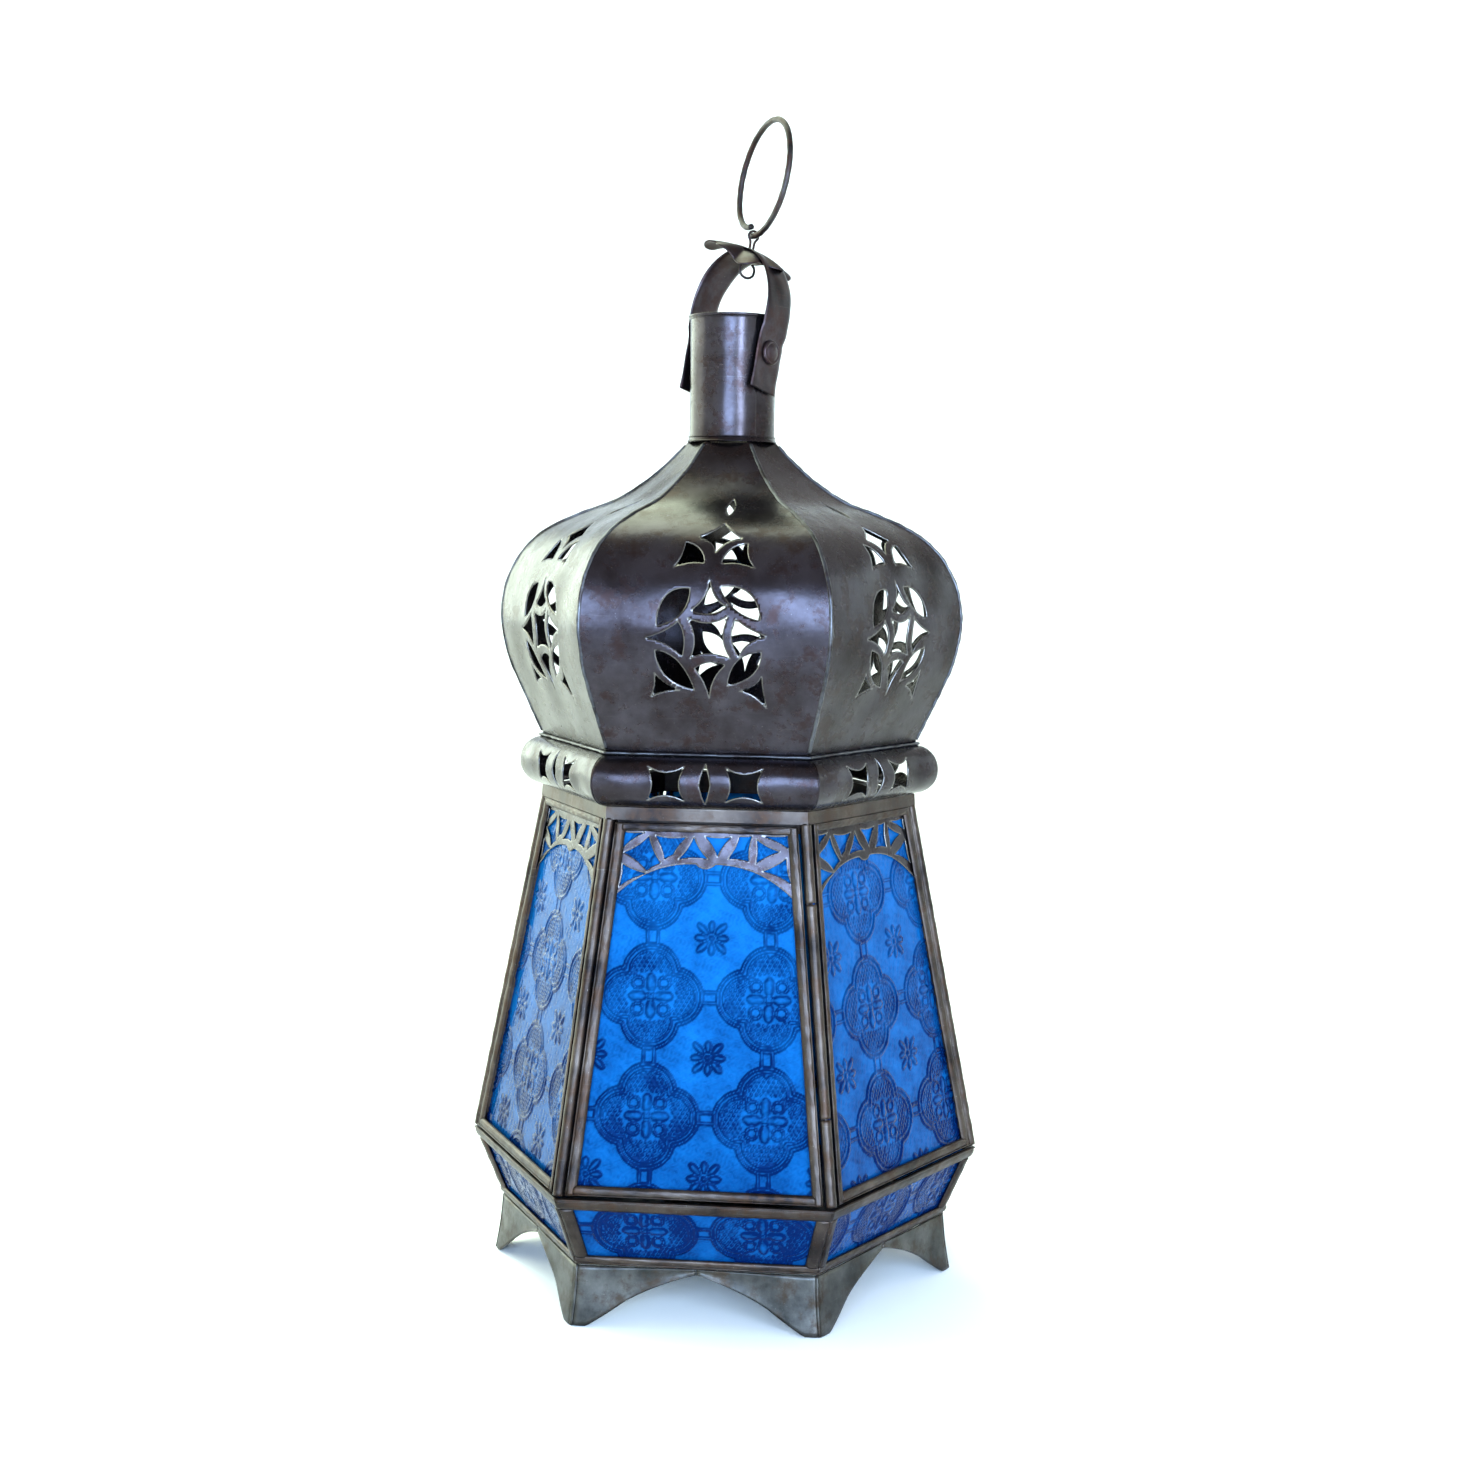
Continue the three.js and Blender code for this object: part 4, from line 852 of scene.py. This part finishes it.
half_arch = np.linspace(0, math.pi / 2, 30)
leg = np.array([(19.9, -17), (19.9, -10), (19.9, 0), (19.95, 6), (21.2, 11.5)])
arch = np.stack([21.3 * np.cos(half_arch), 18 + 28 * np.sin(half_arch)], 1)
right_half = np.vstack([smooth_through(leg, 40)[:-1], arch])
strap_line = np.vstack([right_half, right_half[-2::-1] * [-1, 1]])
along = tangents(strap_line)
outer = np.stack([along[:, 1], -along[:, 0]], 1)
w = np.linspace(-1, 1, 13)
edge_drop = 0.35 * np.abs(w) ** 12
HALF_WIDTH, HALF_GAUGE = 8.5, 0.5
strap_section = np.vstack([np.stack([w * HALF_WIDTH, HALF_GAUGE - edge_drop], 1),
                           np.stack([w[::-1] * HALF_WIDTH, -HALF_GAUGE + edge_drop], 1)])
run = np.arange(len(strap_line)) * 1.2
stand = strap_section[:, 1] + 0.22 * unevenness(run[:, None], strap_section[:, 0] * 2, 18, 6)
strap_points = np.stack([strap_line[:, None, 0] + outer[:, None, 0] * stand,
                         strap_section[:, 0] * (1 + 0.015 * unevenness(run, 0, 11, 2))[:, None],
                         strap_line[:, None, 1] + outer[:, None, 1] * stand], -1)
# Old tin strap, handled and rusted: brown and purple-brown, duller than the dome.
rusted_strap = metal("rusted_tin_strap", "#1f191a", "#3f3639", "#35221f", rust_share=0.55, roughness=0.34,
                     speck="#6f6965", dent=0.3, scratch=0.15, seed=2.2)
strap_faces = capped(len(strap_line), len(strap_section))
strap = new_piece("arched_strap", on_neck(strap_points), strap_faces, rusted_strap)
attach(strap, "bail")
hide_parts("bail_strap")

# A rivet at each side: a shank through strap and neck, clinched inside, with a domed head.
rivet_dome = np.array([(0.01, 23.0), (2.0, 22.75), (3.3, 22.2), (3.9, 21.9), (4.6, 22.1), (5.2, 21.6),
                       (5.4, 20.9)])
rivet_shank = [[1.5, 20.8], [1.5, 17.8], [3, 17.8], [3, 16.6], [0.001, 16.6]]
rivet_profile = np.vstack([[[0.001, 23.0]], smooth_through(rivet_dome, 28)[1:], rivet_shank])
a = full_turn(40)
for name, side in (("rivet_front", 1), ("rivet_back", -1)):
    x = side * rivet_profile[:, 1:] + 0 * a
    ring = np.stack([x, rivet_profile[:, :1] * np.cos(a), rivet_profile[:, :1] * np.sin(a)], -1)
    turn = spun(ring, BAIL_TURN) + [0, 0, BAIL_Z]
    faces = capped(len(rivet_profile), len(a))
    head = new_piece(f"{name}_head", turn, faces, rusted_strap)
    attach(head, "lantern")
    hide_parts(name)

# A flower cut from tin sheet tops the arch. Its eight petals are bent down over the strap, furthest
# at the front, and crimped up and down by hand.
spokes = full_turn(240)
rings = np.linspace(0, 1, 30)[:, None]
reach = 19.4 + 1.3 * np.cos(8 * spokes) - 1.5 * np.abs(np.sin(4 * spokes)) ** 6
r = 2.3 + rings * (reach - 2.3)
droop = (4 + 2.9 * np.cos(spokes + math.radians(50))) * rings ** 1.85
crimp = 1.5 * np.cos(4 * spokes + 0.9) + 0.8 * np.sin(8 * spokes) + 0.6 * np.sin(3 * spokes + 1)
crimp = rings ** 2 * crimp
lean = math.radians(16)
x, y, z = r * np.cos(spokes), r * np.sin(spokes), 1.6 + crimp - droop
flower_points = np.stack([x * math.cos(lean) + z * math.sin(lean), y,
                          z * math.cos(lean) - x * math.sin(lean) + BAIL_RISE + 0.3], -1)
flower_faces = quads(len(rings), len(spokes), True)[:, ::-1].tolist()
flower = thicken(new_piece("cut_flower", on_neck(flower_points), flower_faces, rusted_strap, False), 0.6)
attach(flower, "bail")
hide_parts("flower_washer")

# ---- eye and ring ----
# A hairpin of thin iron wire goes down through the flower and the strap, one leg curled below. The
# hanging ring is a hoop of thicker wire, sprung open beside the eye.
EYE_TURN, RING_LEAN, RING_SIDE = (math.radians(a) for a in (-117.7, -10.4, 3.5))


def wire(line, radius, side, count=12, rust=0.04, seed=0):
    """A round wire along a line: at each point, `side` and the line's own normal span the ring of points."""
    along = tangents(line)
    normal = np.cross(along, side)
    normal /= np.linalg.norm(normal, axis=1)[:, None]
    across = np.cross(normal, along)
    a = full_turn(count)[:, None]
    steps = np.arange(len(line))[:, None]
    r = radius * (1 - rust + rust * unevenness(steps * 0.7, 3 * a[:, 0], 5, seed))[..., None]
    points = line[:, None] + r * (np.cos(a) * across[:, None] + np.sin(a) * normal[:, None])
    return points, capped(len(line), count)


def on_bail(points):
    """Turns points about the bail's own upright line by the eye's turn, then sets them on the neck."""
    return on_neck(spun(points, EYE_TURN))


def arc_of(degrees, radius, middle):
    """Points on a circle about (0, middle), by angle: its cosine and sine times the radius."""
    a = np.radians(degrees)
    return np.stack([radius * np.cos(a), middle + radius * np.sin(a)], 1)


EYE_CENTRE = 54.5
curl_angles = np.array([50, 0, -50, -100, -150, -200, -235])
curl = np.insert(arc_of(curl_angles, 3.7, BAIL_RISE - 6.9), 1, -0.3 - 0.004 * (50 - curl_angles), 1)
loop = np.insert(arc_of([150, 90, 30], 2.2, EYE_CENTRE), 1, 0, 1)
eye_line = smooth_through(np.vstack([
    [(-4.2, 1.6, 42.6), (-1.6, 0.6, 43.8), (-1, 0, 46), (-1, 0, 51.4), (-2.2, 0, 53.9)], loop,
    [(2.2, 0, 53.9), (1, 0, 51.4), (1, 0, 46), (1.6, 0, 43.6)], curl]), 220)
# Iron wire with thin brown rust: dull, rough, with grey where the rust has rubbed off.
rusty_wire = metal("rusty_iron_wire", "#201b1b", "#443f3f", "#3a2824", rust_share=0.55, roughness=0.44,
                   speck="#77726e", dent=0.1, scratch=0.15, seed=5.5)
points, faces = wire(eye_line, 0.6, np.array([0, 1.0, 0]))
eye = new_piece("wire_eye", on_bail(points), faces, rusty_wire)
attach(eye, "eye")
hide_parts("ring_eye")
RING_RADIUS, RING_FROM, RING_TO, SPRING_FROM, SPRING = 25.6, -97, 258, 205, 4
degrees = np.linspace(RING_FROM, RING_TO, 240)
sprung = np.clip((degrees - SPRING_FROM) / (RING_TO - SPRING_FROM), 0, 1) ** 2
a, r = np.radians(degrees), RING_RADIUS - SPRING * sprung
flat = np.stack([0 * a, r * np.cos(a), RING_RADIUS + r * np.sin(a)], 1)
points, faces = wire(flat, 1.4, np.array([1.0, 0, 0]), 16, 0.05, 3)
upright = Matrix.Rotation(RING_SIDE, 3, "Y") @ Matrix.Rotation(RING_LEAN, 3, "X")
points = points @ np.array(upright).T + [0, 0, EYE_CENTRE]
ring = new_piece("wire_ring", on_bail(points), faces, rusty_wire)
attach(ring, "ring")
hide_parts("hanging_ring")

# ---- inside ----
# The floor, the candle cup and the hinge's pin keep their own shapes.
inside = {"floor_plate": tinned_sheet, "candle_cup": tinned_sheet, "hinge_pin": rusty_wire}
for name, material in inside.items():
    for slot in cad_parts[name].material_slots:
        slot.material = material
